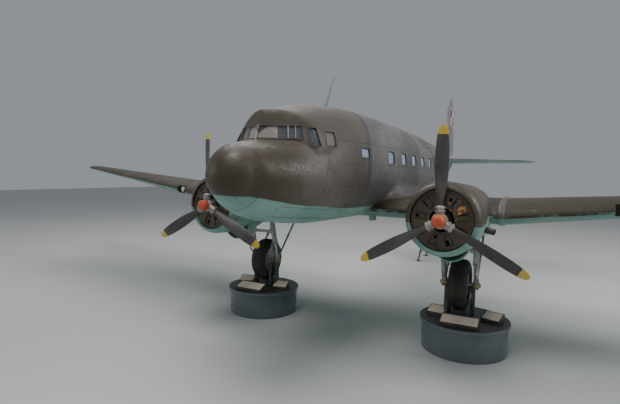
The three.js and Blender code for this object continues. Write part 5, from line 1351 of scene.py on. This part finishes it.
# ---- Wheels and tyres ----
# Cast alloy wheels with lightening holes, a hub cap and a brake drum carry smooth-shouldered aircraft tyres
# moulded with ribs round the tread; the small tail wheel is built the same way.
def tyre_rows(radius, width, rim, ribs):
    half, wall = width / 2, radius - rim
    side = [(rim, 0.62), (rim + wall * 0.1, 0.8), (rim + wall * 0.22, 0.935), (rim + wall * 0.4, 1.0),
            (rim + wall * 0.5, 0.998), (rim + wall * 0.515, 1.006), (rim + wall * 0.535, 1.006),
            (rim + wall * 0.55, 0.985), (rim + wall * 0.66, 0.955), (rim + wall * 0.78, 0.88),
            (rim + wall * 0.88, 0.76), (radius - wall * 0.05, 0.6), (radius - wall * 0.018, 0.44)]
    tread = []
    for i in range(ribs):
        a, b = 0.4 - 0.8 * i / ribs, 0.4 - 0.8 * (i + 1) / ribs
        crown = lambda t: radius - 0.06 * wall * t * t
        tread += [(crown(a), a - 0.008), (crown(b), b + 0.02), (crown(b) - 0.035 * wall, b + 0.014),
                  (crown(b) - 0.035 * wall, b - 0.002)]
    rows = [(r, -t * half) for r, t in side] + [(r, -t * half) for r, t in tread[:-2]]
    return rows + [(r, t * half) for r, t in reversed(side)]


def wheel_rows(rim, width, bore):
    half = width / 2 * 0.66
    hub_out, dish = bore + 0.055, half * 0.35
    rows = [(bore, -half * 0.95), (hub_out - 0.012, -half * 0.95), (hub_out, -half * 0.88),
            (hub_out + 0.008, -half * 0.55), (hub_out + 0.03, -dish - 0.006), (rim * 0.8, -dish),
            (rim * 0.855, -half * 0.6), (rim * 0.87, -half * 0.98), (rim * 0.9, -half * 1.06),
            (rim * 0.955, -half * 1.08), (rim - 0.0003, -half), (rim - 0.0003, half)]
    return rows + [(r, -p) for r, p in reversed(rows[:-2])]


TYRE, WHEEL_HOLES = {"radius": 0.6, "width": 0.43, "rim": 0.32}, 8
main_wheel = turned("wheel", wheel_rows(TYRE["rim"], TYRE["width"], 0.0456), (1, 0, 0), 80)
for i in range(WHEEL_HOLES):
    out = turn_of(i / WHEEL_HOLES, "X") @ Vector((0, 0, 0.185))
    combine(main_wheel, rod("hole", out - Vector((0.2, 0, 0)), out + Vector((0.2, 0, 0)), 0.034, 28))
wheel_bits = [main_wheel]
for i in range(10):
    out = turn_of((i + 0.5) / 10, "X") @ Vector((0, 0, 0.245))
    wheel_bits.append(rod("bolt", out - Vector((0.062, 0, 0)), out + Vector((0.062, 0, 0)), 0.01, 6))
# Brake drum on the inboard face, ribbed round its rim
drum_rows = [(0.1, -0.118), (0.222, -0.118), (0.228, -0.112), (0.228, -0.098), (0.222, -0.096), (0.222, -0.088),
             (0.228, -0.086), (0.228, -0.074), (0.222, -0.072), (0.222, -0.056), (0.1, -0.056)]
wheel_bits.append(turned("drum", drum_rows, (1, 0, 0), 64))
main_wheel = moved(joined("wheel_port", wheel_bits), wheel_spot(0))
wheel_metal = coated("wheel_alloy", (0.33, 0.34, 0.34), (0.47, 0.47, 0.46), (0.08, 0.07, 0.06), 4, 0.3, 0.5)
both_sides(main_wheel, "wheel_{}", "main_wheel_{}", wheel_metal, ("main_wheel_{}",), 30)
rubber, tree, shader = new_material("tyre_rubber")
where = place_on(tree)[0]
dusty = noise(where, 3.5, 6, 0.6)
cracks = put(tree, "TexVoronoi", {"Vector": where, "Scale": 55}, "Distance", feature="DISTANCE_TO_EDGE")
dress(shader, mixed(ranged(dusty, 0.38, 0.72), (0.016, 0.015, 0.015), (0.058, 0.046, 0.035)),
      ranged(dusty, 0.3, 0.7, 0.55, 0.85), ranged(cracks, 0, 0.03) + noise(where, 120, 4), 0.22, 0.0015)
tyre = moved(turned("tyre_port", tyre_rows(TYRE["radius"], TYRE["width"], TYRE["rim"], 5), (1, 0, 0), 88),
             wheel_spot(0))
both_sides(tyre, "tyre_{}", "main_wheel_{}", rubber, ("main_tyre_{}",), 40)

TAIL_AXLE, TAIL_TRAIL, TAIL_CROWN = (16.95, 0.38), 0.12, 0.255
tail_place = spot(0, *TAIL_AXLE)
small_wheel = turned("tail_wheel_alloy", wheel_rows(0.12, 0.17, 0.0205), (1, 0, 0), 48)
finish(moved(small_wheel, tail_place), "tail_wheel", wheel_metal, ("tail_wheel",), 30)
small_tyre = turned("tail_tyre_rubber", tyre_rows(0.235, 0.17, 0.12, 3), (1, 0, 0), 64)
finish(moved(small_tyre, tail_place), "tail_wheel", rubber, ("tail_tyre",), 40)


# ---- Tail gear ----
# A sprung leg fixed in the tail cone holds the stem of a swivelling fork, which carries the small wheel.
fork_station, fork_top = TAIL_AXLE[0] - TAIL_TRAIL, TAIL_AXLE[1] + TAIL_CROWN
upright = lambda name, rows: moved(turned(name, rows, (0, 0, 1), 40), spot(0, fork_station, fork_top))
leg = upright("tail_leg_tube", [
    (0.0287, 0.036), (0.055, 0.036), (0.062, 0.04), (0.062, 0.075), (0.055, 0.08), (0.055, 0.2), (0.06, 0.205),
    (0.06, 0.225), (0.055, 0.23), (0.055, 0.46), (0.0287, 0.46)])
boot = upright("tail_boot", [(0.056, 0.235), *[(0.082 - 0.012 * (i % 2), 0.245 + 0.012 * i) for i in range(12)],
                             (0.056, 0.39)])
finish(leg, "root", gear_grey, ("tail_leg",), 30)
finish(boot, "root", coated("boot_leather", (0.06, 0.045, 0.032), (0.11, 0.085, 0.06), size=5,
                                          chips=0.0))
fork_bits = [upright("stem", [(0, -0.02), (0.06, -0.02), (0.06, 0.0347), (0.028, 0.0347), (0.028, 0.155), (0, 0.155)])]
fork_bits.append(strut("crown", spot(-0.15, fork_station, fork_top), spot(0.15, fork_station, fork_top),
                       [(0, 0), (0.026, 0), (0.032, 0.03), (0.032, 0.97), (0.026, 1), (0, 1)], 32))
fork_bits.append(strut("tail_axle", spot(-0.15, *TAIL_AXLE), spot(0.15, *TAIL_AXLE),
                       [(0, 0), (0.03, 0), (0.03, 0.05), (0.034, 0.06), (0.034, 0.14), (0.02, 0.17), (0.02, 0.83),
                        (0.034, 0.86), (0.034, 0.94), (0.03, 0.95), (0.03, 1), (0, 1)], 32))
for side in (-1, 1):
    fork_bits.append(strut("arm", spot(side * 0.12, fork_station, fork_top), spot(side * 0.12, *TAIL_AXLE),
                           [(0, 0), (0.03, 0), (0.024, 0.3), (0.022, 0.7), (0.028, 1), (0, 1)], 28))
finish(joined("tail_fork_metal", fork_bits), "tail_fork", gear_grey, ("tail_fork",), 30)


# ---- Cockpit and cabin glazing ----
# Flat windshield panes in a bolted frame with thin posts, sliding side panes, and pressed acrylic cabin windows in
# rubber. A pale blanking sheet covers the inner part of each windshield pane.
clear_glass, tree, shader = new_material("clear_glass")
shader["Transmission Weight"].default_value, shader["IOR"].default_value = 0.92, 1.45
dress(shader, (0.84, 0.9, 0.94), ranged(noise(place_on(tree)[0], 3, 5), 0.35, 0.75, 0.02, 0.16))


def hazy_pane(name, hazed, clear, through):
    """Aged acrylic: crazed patches scatter more light than the clear ones."""
    material, tree, shader = new_material(name)
    shader["Transmission Weight"].default_value, shader["IOR"].default_value = through, 1.49
    haze = noise(place_on(tree)[0], 2.4, 4)
    dress(shader, mixed(ranged(haze, 0.3, 0.7), hazed, clear), ranged(haze, 0.3, 0.7, 0.08, 0.3))
    return material


aged_glass = hazy_pane("aged_acrylic", (0.46, 0.58, 0.8), (0.66, 0.76, 0.94), 0.35)
dusty_glass = hazy_pane("dusty_acrylic", (0.22, 0.2, 0.18), (0.34, 0.32, 0.3), 0.25)
frame_paint = coated("frame_paint", (0.07, 0.055, 0.035), (0.115, 0.095, 0.065), size=4, chips=0.6)
post_paint = coated("post_paint", (0.36, 0.355, 0.345), (0.46, 0.45, 0.44), (0.16, 0.14, 0.11), 6, 0.3)
seal = coated("seal_rubber", (0.014, 0.013, 0.012), (0.035, 0.032, 0.028), size=8, chips=0.0)


def whole_pane(name, grow, ahead_range, mirror=False):
    """A block over the windshield's opening, a little larger or smaller than it."""
    return pane_block(name, (PANE["inner"] - grow, PANE["outer"] + grow), (PANE["low"] - grow, PANE["high"] + grow),
                      ahead_range, mirror)


def pane_ring(name, grow, wide, ahead_range):
    """A frame round the windshield pane, lying in its plane."""
    return combine(whole_pane(name, grow, ahead_range), whole_pane("hole", grow - wide, (-1, 1)))


glass = whole_pane("windshield_glass_port", -0.003, (-0.026, -0.018))
both_sides(glass, "windshield_glass_{}", "root", clear_glass, ("cockpit_glazing",), 0)
frames = [pane_ring("outer_frame", 0.014, 0.026, (-0.012, 0.006)),
          pane_ring("inner_frame", 0.0, 0.014, (-0.03, -0.01))]
on_pane = lambda across, up, out: PANE_FOOT + pane_across * across + pane_up * up + pane_ahead * out
for i in range(30):
    for up in (PANE["low"] - 0.006, PANE["high"] + 0.006):
        at = PANE["inner"] + (PANE["outer"] - PANE["inner"]) * (i + 0.5) / 30
        frames.append(rod("screw", on_pane(at, up, 0.004), on_pane(at, up, 0.0095), 0.0042, 8, 0.002))
both_sides(joined("windshield_frame_port", frames), "windshield_frame_{}", "root", frame_paint)
posts = [pane_block("post", (at - half, at + half), (PANE["low"], PANE["high"]), (-0.034, 0.002))
         for at, half in ((0.59, 0.01), (0.722, 0.007))]
both_sides(joined("windshield_posts_port", posts), "windshield_posts_{}", "root", post_paint)
screen = loft("sun_screen_port", [[on_pane(across, up, out) for across, up in
                                   ((0.048, 0.05), (0.402, 0.05), (0.402, 0.296), (0.26, 0.296), (0.048, 0.13))]
                                  for out in (-0.0185, -0.0145)])
both_sides(screen, "sun_screen_{}", "root", coated(
    "screen_paint", (0.27, 0.235, 0.22), (0.37, 0.33, 0.31), (0.16, 0.13, 0.11), 3, 0.1), (), 0)
side_panes, side_frames = [], []
for row in SIDE_WINDOWS:
    shell = combine(cockpit_volume("shell", 0.022, 1.0, 2.6), cockpit_volume("inside", 0.03, 0.98, 2.62))
    side_panes.append(combine(side_window("side_pane", row, -0.002), shell, "INTERSECT"))
    rim = combine(side_window("rim", row, 0.012), side_window("hole", row, -0.012, 0.3))
    collar = combine(cockpit_volume("collar", -0.007, 1.0, 2.6), cockpit_volume("inside", 0.034, 0.98, 2.62))
    side_frames.append(combine(rim, collar, "INTERSECT"))
both_sides(side_panes[0], "side_glass_{}", "root", clear_glass)
both_sides(side_panes[1], "rear_side_glass_{}", "root", dusty_glass)
both_sides(joined("side_frames_port", side_frames), "side_frames_{}", "root", frame_paint)

# Cabin windows: pane, rubber and a pressed surround each
panes, seals, surrounds = [], [], []
shell, outside, lining = (combine(hull("shell", 3.2, 12.0, inset), hull("inside", 3.1, 12.1, deeper))
                          for inset, deeper in ((0.02, 0.027), (-0.006, 0.01), (0.006, 0.04)))
for middle, width, height, level_at in CABIN_WINDOWS:
    opening = lambda grow, x0=0.8, x1=1.45: rounded_slab("opening", x0, x1, middle - width / 2 - grow,
                                                         middle + width / 2 + grow, level_at - height / 2 - grow,
                                                         level_at + height / 2 + grow, 0.045 + grow)
    panes.append(combine(opening(-0.004), copy_of(shell, "shell"), "INTERSECT"))
    for grow, wide, band, pieces in ((-0.0005, 0.016, lining, seals), (0.026, 0.026, outside, surrounds)):
        ring = combine(opening(grow), opening(grow - wide, 0.7, 1.5))
        pieces.append(combine(ring, copy_of(band, "band"), "INTERSECT"))
for tool in (shell, outside, lining):
    bpy.data.objects.remove(tool)
both_sides(joined("cabin_panes_port", panes), "cabin_panes_{}", "root", aged_glass,
           ("cabin_glazing_{}",), 0)
both_sides(joined("cabin_seals_port", seals), "cabin_seals_{}", "root", seal, (), 30)
both_sides(joined("cabin_surrounds_port", surrounds), "cabin_surrounds_{}", "root", hull_material,
           (), 30)


# ---- Inside ----
# Green-grey plywood and sheet floors and bulkhead, a black instrument panel with dials, and two pilot seats:
# bucket frames with leather cushions.
cabin_green, tree, shader = new_material("cabin_paint")
look = worn(tree, (0.13, 0.165, 0.125), (0.2, 0.235, 0.185), size=2.5, chips=0.5)
where, x, y, z = place_on(tree)
planks = panel_lines(tree, (x, y, 0.42, 0.21), width=0.004)[0]
dress(shader, mixed(planks, look["Color"], (0.03, 0.035, 0.03)), look["Roughness"], look["Height"] - planks)
repaint(cabin_green, "cockpit_floor", "cabin_floor", "front_bulkhead")
black_crackle = coated("panel_black", (0.012, 0.012, 0.013), (0.03, 0.03, 0.03), (0.05, 0.045, 0.04), 8, 0.3,
                       strength=0.6)
repaint(black_crackle, "instrument_panel")
dial_parts, bezel_parts = [], []
for row, (height, count, radius) in enumerate(((1.285, 7, 0.044), (1.165, 8, 0.04), (1.06, 6, 0.034))):
    for i in range(count):
        x = (i - (count - 1) / 2) * (0.15 if row < 2 else 0.19)
        face = turned("dial", [(0, 0), (radius * 0.84, 0), (radius * 0.84, 0.004), (0, 0.004)], (0, 1, 0), 28)
        bezel = turned("bezel", [(radius * 0.84, -0.002), (radius, -0.002), (radius, 0.01), (radius * 0.93, 0.014),
                                 (radius * 0.84, 0.01)], (0, 1, 0), 28)
        place = spot(x, 1.56, height)
        dial_parts.append(moved(face, place))
        bezel_parts.append(moved(bezel, place))
        hand = box("hand", (-0.0016, 0.004, -radius * 0.12), (0.0016, 0.0055, radius * 0.68))
        dial_parts.append(moved(hand, place, Matrix.Rotation(0.9 * i + row, 4, "Y")))
finish(joined("dial_faces", dial_parts), "root", post_paint)
finish(joined("dial_rims", bezel_parts), "root", black_crackle)
leather, tree, shader = new_material("seat_leather")
where = place_on(tree)[0]
rubbed = noise(where, 5, 6, 0.6)
grain = put(tree, "TexVoronoi", {"Vector": where, "Scale": 240}, "Distance")
dress(shader, mixed(ranged(rubbed, 0.35, 0.7), (0.05, 0.036, 0.022), (0.105, 0.08, 0.052)),
      ranged(rubbed, 0.3, 0.7, 0.42, 0.68), grain, 0.25, 0.001)


def cushion(name, low, high, swell, upright=False):
    """A crowned pad: its middle stands proud and its sides pull in between the corners."""
    pad = box(name, low, high)
    select(pad)
    bpy.ops.object.mode_set(mode="EDIT")
    bpy.ops.mesh.select_all(action="SELECT")
    bpy.ops.mesh.subdivide(number_cuts=9)
    bpy.ops.object.mode_set(mode="OBJECT")
    low, high = Vector(low), Vector(high)
    middle, half = (low + high) / 2, (high - low) / 2
    thin = 1 if upright else 2
    wide = [k for k in range(3) if k != thin]
    for vertex in pad.data.vertices:
        part = [(vertex.co[k] - middle[k]) / half[k] for k in range(3)]
        crown = (1 - part[wide[0]] ** 2) * (1 - part[wide[1]] ** 2)
        vertex.co[thin] += part[thin] * swell * crown
        for k in wide:
            other = part[wide[1] if k == wide[0] else wide[0]]
            vertex.co[k] -= part[k] * half[k] * 0.035 * (1 - other ** 2)
            vertex.co[k] -= part[k] * half[k] * 0.1 * part[thin] ** 2
    mod = pad.modifiers.new("round", "SUBSURF")
    mod.levels = mod.render_levels = 1
    return pad


for side, name in ((1, "port"), (-1, "starboard")):
    left, right = sorted((side * 0.23, side * 0.67))
    pads = (cushion("seat_pad_" + name, spot(left + 0.015, 2.165, 0.868), spot(right - 0.015, 2.565, 0.962), 0.022),
            cushion("back_pad_" + name, spot(left + 0.02, 2.555, 0.985), spot(right - 0.02, 2.632, 1.5), 0.018,
                    True))
    for pad in pads:
        finish(pad, "root", leather)
    bars = [slab(left, right, 2.15, 2.64, 0.82, 0.87, "pan"), slab(left, right, 2.63, 2.655, 0.85, 1.56, "back")]
    bars += [block(x, 2.42, 0.012, 0.22, 1.06, 1.085, "arm") for x in (left, right)]
    for x in (left + 0.04, right - 0.04):
        bars += [block(x, at, 0.014, 0.014, 0.5603, 0.83, "leg") for at in (2.2, 2.59)]
        bars.append(block(x, 2.4, 0.02, 0.28, 0.5603, 0.575, "rail"))
    finish(soft_edges(joined("seat_frame_" + name, bars), 0.006), "root", gear_grey,
           ("pilot_seat_" + name,))


# ---- Plinths ----
# Round display drums of painted sheet with a rubber-grey deck and a rolled rim. On each stand a dark steel cradle
# with saddles for the axle sleeves, and three desk-shaped boards whose faces are left blank.
PLINTH_X, PLINTH_STATION, PLINTH_TOP = ENGINE_X + 0.12, AXLE_STATION + 0.04, 0.76
drum = turned("plinth_drum_port", [(0, 0), (0.985, 0), (0.99, 0.004), (0.992, 0.05), (1.006, 0.054), (1.008, 0.64),
                                   (1.012, 0.662), (1.05, 0.676), (1.055, 0.684), (1.055, 0.748), (1.049, 0.757),
                                   (1.04, 0.76), (1.028, 0.76), (1.026, 0.7545), (0, 0.7545)], (0, 0, 1), 128)
drum_paint, tree, shader = new_material("plinth_paint")
where, x, y, z = place_on(tree)
side_look = worn(tree, (0.105, 0.135, 0.142), (0.14, 0.17, 0.176), (0.095, 0.12, 0.125), 0.8, 0.0)
deck_look = worn(tree, (0.03, 0.029, 0.027), (0.052, 0.048, 0.043), (0.02, 0.018, 0.016), 1.6, 0.05)
on_deck = ranged(z, 0.748, 0.752)
dress(shader, mixed(on_deck, side_look["Color"], deck_look["Color"]),
      ranged(noise(where, 6, 5), 0.3, 0.7, 0.2, 0.32) + on_deck * 0.2, noise(where, 90, 3) * on_deck, 0.25, 0.002)
both_sides(moved(drum, (PLINTH_X, PLINTH_STATION - LENGTH / 2, 0)), "plinth_drum_{}", "root",
           drum_paint, ("plinth_{}",), 30)
DECK = PLINTH_TOP - SHAFT_HEIGHT
steel_parts = [block(ENGINE_X, AXLE_STATION, 0.33, 0.33, DECK - 0.006, DECK + 0.012, "base"),
               block(ENGINE_X, AXLE_STATION, 0.15, 0.2, DECK, AXLE_HEIGHT - TYRE["radius"] - 0.006, "block")]
for side in (-1, 1):
    x = ENGINE_X + side * 0.262
    for end in (-0.22, 0.22):
        steel_parts += [block(x, AXLE_STATION + end, 0.02, 0.03, DECK, AXLE_HEIGHT - 0.06, "post"),
                        block(x, AXLE_STATION + end, 0.035, 0.05, DECK + 0.01, DECK + 0.022, "foot"),
                        rod("brace", spot(x, AXLE_STATION + end, DECK + 0.1),
                            spot(x, AXLE_STATION - end, AXLE_HEIGHT - 0.2), 0.013, 12)]
    steel_parts.append(block(x, AXLE_STATION, 0.016, 0.22, AXLE_HEIGHT - 0.1, AXLE_HEIGHT - 0.07, "head_rail"))
    saddle = block(ENGINE_X + side * (LEG_X - 0.04), AXLE_STATION, 0.028, 0.055, DECK, AXLE_HEIGHT - 0.05, "saddle")
    air = rod("sleeve_air", wheel_spot(-LEG_X - 0.1), wheel_spot(LEG_X + 0.1), SLEEVE + 0.0003, 48)
    steel_parts.append(combine(saddle, air))
cradle = soft_edges(joined("cradle_port", steel_parts), 0.003)
stand_steel = coated("stand_steel", (0.075, 0.082, 0.085), (0.125, 0.13, 0.13), (0.05, 0.035, 0.025), 3, 0.3, 0.3)
both_sides(cradle, "cradle_{}", "root", stand_steel)
board_dark = coated("board_side", (0.05, 0.044, 0.036), (0.085, 0.075, 0.062), size=3, chips=0.1)
board_pale = coated("board_face", (0.78, 0.62, 0.5), (0.85, 0.72, 0.61), (0.66, 0.5, 0.38), 2.5, 0.0)
bodies, faces = [], []
for out, aft, width, turn_deg in ((0, -0.69, 0.86, 0), (-0.64, -0.06, 0.44, -12), (0.64, 0.04, 0.44, -18)):
    turn_by = Matrix.Rotation(math.radians(turn_deg), 4, "Z")
    place = Vector((PLINTH_X + out, PLINTH_STATION + aft - LENGTH / 2, PLINTH_TOP))
    outline = ((-0.165, -0.005), (-0.165, 0.055), (-0.155, 0.062), (0.155, 0.186), (0.165, 0.186), (0.165, -0.005))
    bodies.append(moved(loft("board", [[Vector((x, y, z)) for y, z in outline] for x in (-width / 2, width / 2)]),
                        place, turn_by))
    edge = width / 2 - 0.022
    slope = lambda y, lift: 0.062 + (y + 0.155) * 0.4 + lift
    outline = (-edge, -0.135), (edge, -0.135), (edge, 0.135), (-edge, 0.135)
    sheet = loft("face", [[Vector((x, y, slope(y, lift))) for x, y in outline] for lift in (-0.002, 0.005)])
    faces.append(moved(sheet, place, turn_by))
both_sides(joined("board_bodies_port", bodies), "board_bodies_{}", "root", board_dark, (), 20)
both_sides(joined("board_faces_port", faces), "board_faces_{}", "root", board_pale, (), 0)


# ---- Tail stand ----
# A braced trestle of steel tube under the tail wheel, with two props and a padded saddle for the tail cone.
STAND_TOP = SHAFT_HEIGHT + TAIL_AXLE[1] - 0.235 - 0.006
stand_y = TAIL_AXLE[0] - LENGTH / 2


def on_leg(corner, part):
    reach = 0.8 + (0.38 * 0.8 - 0.8) * part
    return Vector((corner[0] * reach, stand_y + corner[1] * reach, 0.02 + (STAND_TOP - 0.05) * part))


stand_parts = [box("deck", (-0.38, stand_y - 0.38, STAND_TOP - 0.04), (0.38, stand_y + 0.38, STAND_TOP))]
corners = ((-1, -1), (1, -1), (1, 1), (-1, 1))
for i, corner in enumerate(corners):
    beyond = corners[(i + 1) % 4]
    foot = Vector((0.8 * corner[0], stand_y + 0.8 * corner[1], 0))
    stand_parts.append(box("pad", foot - Vector((0.13, 0.13, 0)), foot + Vector((0.13, 0.13, 0.016))))
    stand_parts.append(strut("leg", on_leg(corner, 0), on_leg(corner, 1),
                             [(0, 0), (0.055, 0), (0.055, 0.012), (0.04, 0.014), (0.04, 0.6), (0.047, 0.602),
                              (0.047, 0.638), (0.04, 0.64), (0.04, 1), (0, 1)], 28))
    stand_parts.append(rod("rail", on_leg(corner, 0.62), on_leg(beyond, 0.62), 0.024, 20))
    stand_parts.append(rod("stay", on_leg(corner, 0.1), on_leg(beyond, 0.62), 0.02, 20))
    for shift in ((0.09, 0.09), (-0.09, 0.09), (0.09, -0.09), (-0.09, -0.09)):
        place = foot + Vector((*shift, 0.012))
        stand_parts.append(rod("bolt", place, place + Vector((0, 0, 0.018)), 0.012, 6))
for side in (-1, 1):
    stand_parts.append(rod("prop", spot(side * 0.25, 16.6, STAND_TOP - SHAFT_HEIGHT - 0.02),
                           spot(side * 0.13, 16.25, 0.72), 0.03, 24))
stand = joined("stand_tubes", stand_parts)
finish(soft_edges(stand, 0.003), "root", stand_steel, ("tail_stand",))
saddle = slab(-0.22, 0.22, 16.18, 16.32, 0.66, 0.88, "tail_saddle")
combine(saddle, hull("air", 15.5, 17.0, -0.0015))
finish(saddle, "root", coated("saddle_felt", (0.05, 0.06, 0.045), (0.08, 0.09, 0.07), size=6,
                                              chips=0.0, strength=0.8))


# ---- Hull details ----
# Sheet fillets over the wing roots, the roof hatch, door hinges and handles, small drilled holes and fittings, the
# mast, navigation and tail lamps, and the landing lights. All are riveted or screwed to the skin they stand on.
def side_spot(station, height, out=0.0):
    """The point of the port side's skin at a station and height."""
    ring = cockpit_ring(station, -out) if station < COCKPIT_END else skin_ring(station, -out)
    rows = sorted((abs(p.z - SHAFT_HEIGHT - height), p.x) for p in ring if p.x > 0)[:2]
    across = (rows[0][1] * rows[1][0] + rows[1][1] * rows[0][0]) / max(rows[0][0] + rows[1][0], 1e-9)
    return spot(across, station, height)


def ball(name, place, size, columns=24):
    bpy.ops.mesh.primitive_uv_sphere_add(segments=columns, ring_count=columns // 2, radius=1)
    piece = bpy.context.object
    piece.name = name
    piece.data.transform(Matrix.Translation(place) @ Matrix.Diagonal((*size, 1)))
    return piece


FILLET = ((4.85, 0.1), (5.06, 0.25), (5.14, 0.42), (5.26, 0.6), (5.7, 0.73), (6.61, 0.775), (7.94, 0.766), (9.29, 0.69),
          (10.3, 0.3))
SPREAD = ((4.85, 0.02), (5.14, 0.14), (5.7, 0.34), (7.0, 0.44), (8.9, 0.5), (9.3, 0.34), (10.3, 0.02))
rings = []
for station in even(4.86, 5.3, 16) + even(5.36, 10.28, 50):
    high, reach = read(FILLET, station)[0], read(SPREAD, station)[0]
    top = side_spot(station, high, 0.004)
    on_top = on_wing(1.22 + reach, min(station, TRAILING - 0.04), 1)
    low = Vector((top.x + reach, top.y, on_top.z + 0.003 + 0.1 * max(station - TRAILING, 0)))
    top.z = max(top.z, low.z + 0.01)
    corner = Vector((min(top.x, side_spot(station, low.z - SHAFT_HEIGHT).x), top.y, low.z))
    arc = [(1 - t) ** 2 * top + 2 * t * (1 - t) * corner + t ** 2 * low for t in even(0, 1, 12)]
    rings.append(arc + [low + Vector((-0.02, 0, -0.03)), corner + Vector((-0.05, 0, -0.04)),
                        top + Vector((-0.04, 0, -0.01))])
both_sides(loft("wing_fillet_port", rings), "wing_fillet_{}", "root", hull_material, (), 40)

hatch_spots = lambda grow, x0=0.3, x1=1.4: rounded_slab("hatch", x0, x1, 9.03 - grow, 9.58 + grow, 1.76 - grow,
                                                        2.05 + grow, 0.1 + grow)
roof = hull("roof", 8.8, 9.9, -0.006)
combine(roof, hull("inside", 8.7, 10.0, 0.02))
rim = combine(hatch_spots(0.022), hatch_spots(0.0, 0.2, 1.5))
both_sides(combine(rim, copy_of(roof, "roof"), "INTERSECT"), "hatch_rim_{}", "root", frame_paint, (), 30)
cover = hull("cover", 8.8, 9.9, -0.002)
combine(cover, hull("inside", 8.7, 10.0, 0.02))
dark_glass, tree, shader = new_material("dark_glass")
dress(shader, (0.03, 0.045, 0.065), 0.12)
both_sides(combine(hatch_spots(0.0005), cover, "INTERSECT"), "hatch_glass_{}", "root", dark_glass,
           (), 30)
bpy.data.objects.remove(roof)

fitting_parts = []
for station, height, radius in ((1.835, 0.939, 0.022), (1.713, 0.542, 0.022),
                                (2.348, 0.795, 0.012), (1.421, 1.318, 0.012)):
    place = side_spot(station, height)
    fitting_parts.append(rod("fitting", place - Vector((0.02, 0, 0)), place + Vector((0.007, 0, 0)), radius, 20,
                             radius * 0.7))
finish(joined("nose_fittings", fitting_parts), "root", coated(
    "fitting_brown", (0.1, 0.045, 0.025), (0.17, 0.1, 0.065), size=8, chips=0.2, metallic=0.3))
# The drilled holes are black balls sunk into the skin: painted shade inside the holes
hole_parts = [ball("hole", spot(x, station, height), (0.011, 0.011, 0.011), 16) for x, station, height in
              ((-0.218, 0.055, 0.76), (0.104, 0.013, 0.767), (0.522, 0.406, 0.778), (0.23, 0.234, 0.427))]
finish(joined("nose_holes", hole_parts), "root", black_crackle)
belly_box = slab(0.7, 0.84, 4.98, 5.12, -0.3, -0.16, "belly_box")
finish(soft_edges(belly_box, 0.01, 3), "root", coated("box_paint", *TURQUOISE))

# Hinge knuckles stay on the hull, handles ride the doors
hinge_paint = coated("hinge_paint", (0.075, 0.07, 0.064), (0.13, 0.12, 0.11), size=6, chips=0.5)
for name, x, y in (("cargo_door_front", 1.17438, -0.079), ("cargo_door_rear", 1.042182, 1.979),
                   ("passenger_door", -1.134918, 0.771)):
    side = math.copysign(1, x)
    spots = [v.co for v in node[name].data.vertices]
    low, high = min(p.z for p in spots), max(p.z for p in spots)
    near, far = min(p.y for p in spots), max(p.y for p in spots)
    out_at = lambda out, along, up: Vector((side * (surface + out), along, up))
    knuckles = []
    for height in (low + 0.22, (low + high) / 2, high - 0.22):
        surface = side_spot(y + LENGTH / 2, height - SHAFT_HEIGHT).x
        knuckles += [rod("knuckle", out_at(0.004, y, height + shift - 0.032), out_at(0.004, y, height + shift + 0.032),
                         0.011, 16) for shift in (-0.034, 0.034)]
    finish(joined(name + "_knuckles", knuckles), "root", hinge_paint)
    away = far - 0.16 if y < (near + far) / 2 else near + 0.16
    height = low + 0.62 * (high - low)
    surface = side_spot(away + LENGTH / 2, height - SHAFT_HEIGHT).x
    handle = [rod("plate", out_at(-0.012, away, height), out_at(0.007, away, height), 0.036, 28, 0.032),
              rod("spindle", out_at(0, away, height), out_at(0.036, away, height), 0.01, 14),
              rod("grip", out_at(0.032, away - 0.055, height), out_at(0.032, away + 0.055, height), 0.009, 14, 0.007)]
    finish(joined(name + "_handle", handle), name, bright_steel)

# Mast with its base flange
mast_foot, mast_head = spot(0, 3.78, 2.29), spot(0, 4.23, 3.1)
mast = [rod("mast", mast_foot, mast_head, 0.03, 28, 0.016), ball("cap", mast_head, (0.0162, 0.0162, 0.008), 16),
        post("base", 0, 3.8, 2.25, 2.352, 0.07, 36), post("collar", 0, 3.818, 2.33, 2.392, 0.042, 28)]
finish(joined("mast_tube", mast), "root", coated(
    "mast_paint", (0.15, 0.15, 0.148), (0.24, 0.235, 0.23), (0.07, 0.06, 0.05), 4, 0.6, 0.3), ("antenna_mast",))

# Lamps
def lamp_glass(name, colour):
    material, tree, shader = new_material(name)
    shader["Transmission Weight"].default_value = 0.6
    dress(shader, colour, 0.12)
    return material


clear_lens = lamp_glass("clear_lens", (0.85, 0.88, 0.86))
for side, colour in (("port", (0.55, 0.02, 0.01)), ("starboard", (0.01, 0.32, 0.1))):
    sign = 1 if side == "port" else -1
    tip = wing_point(HALF_SPAN - 0.055, 0.22, 1)
    lens = ball("tip_lamp_" + side, Vector((sign * tip.x, tip.y, tip.z)), (0.05, 0.085, 0.026))
    finish(lens, "root", lamp_glass("tip_lens_" + side, colour))
finish(ball("tail_lamp", spot(0, CONE_END - 0.004, 1.56), (0.032, 0.034, 0.042)), "root", clear_lens)
shell = turned("lamp_shell", [(0, 0.01), (0.045, 0.004), (0.078, -0.05), (0.086, -0.07), (0.086, -0.078),
                              (0.078, -0.08), (0.07, -0.05), (0.04, -0.004), (0, 0.001)], (0, 1, 0), 48)
lens = turned("lamp_lens", [(0, -0.094), (0.04, -0.091), (0.077, -0.08), (0.074, -0.074), (0, -0.084)], (0, 1, 0), 48)
both_sides(moved(shell, light_place), "landing_lamp_{}", "root", bright_steel)
both_sides(moved(lens, light_place), "landing_lens_{}", "root", clear_lens)
centre_way = Vector((0, -pane_ahead.z, pane_ahead.y)) * -1
stripe = rod("windshield_centre", PANE_FOOT + centre_way * 0.01, PANE_FOOT + centre_way * 0.36, 0.017, 16)
finish(stripe, "root", post_paint)
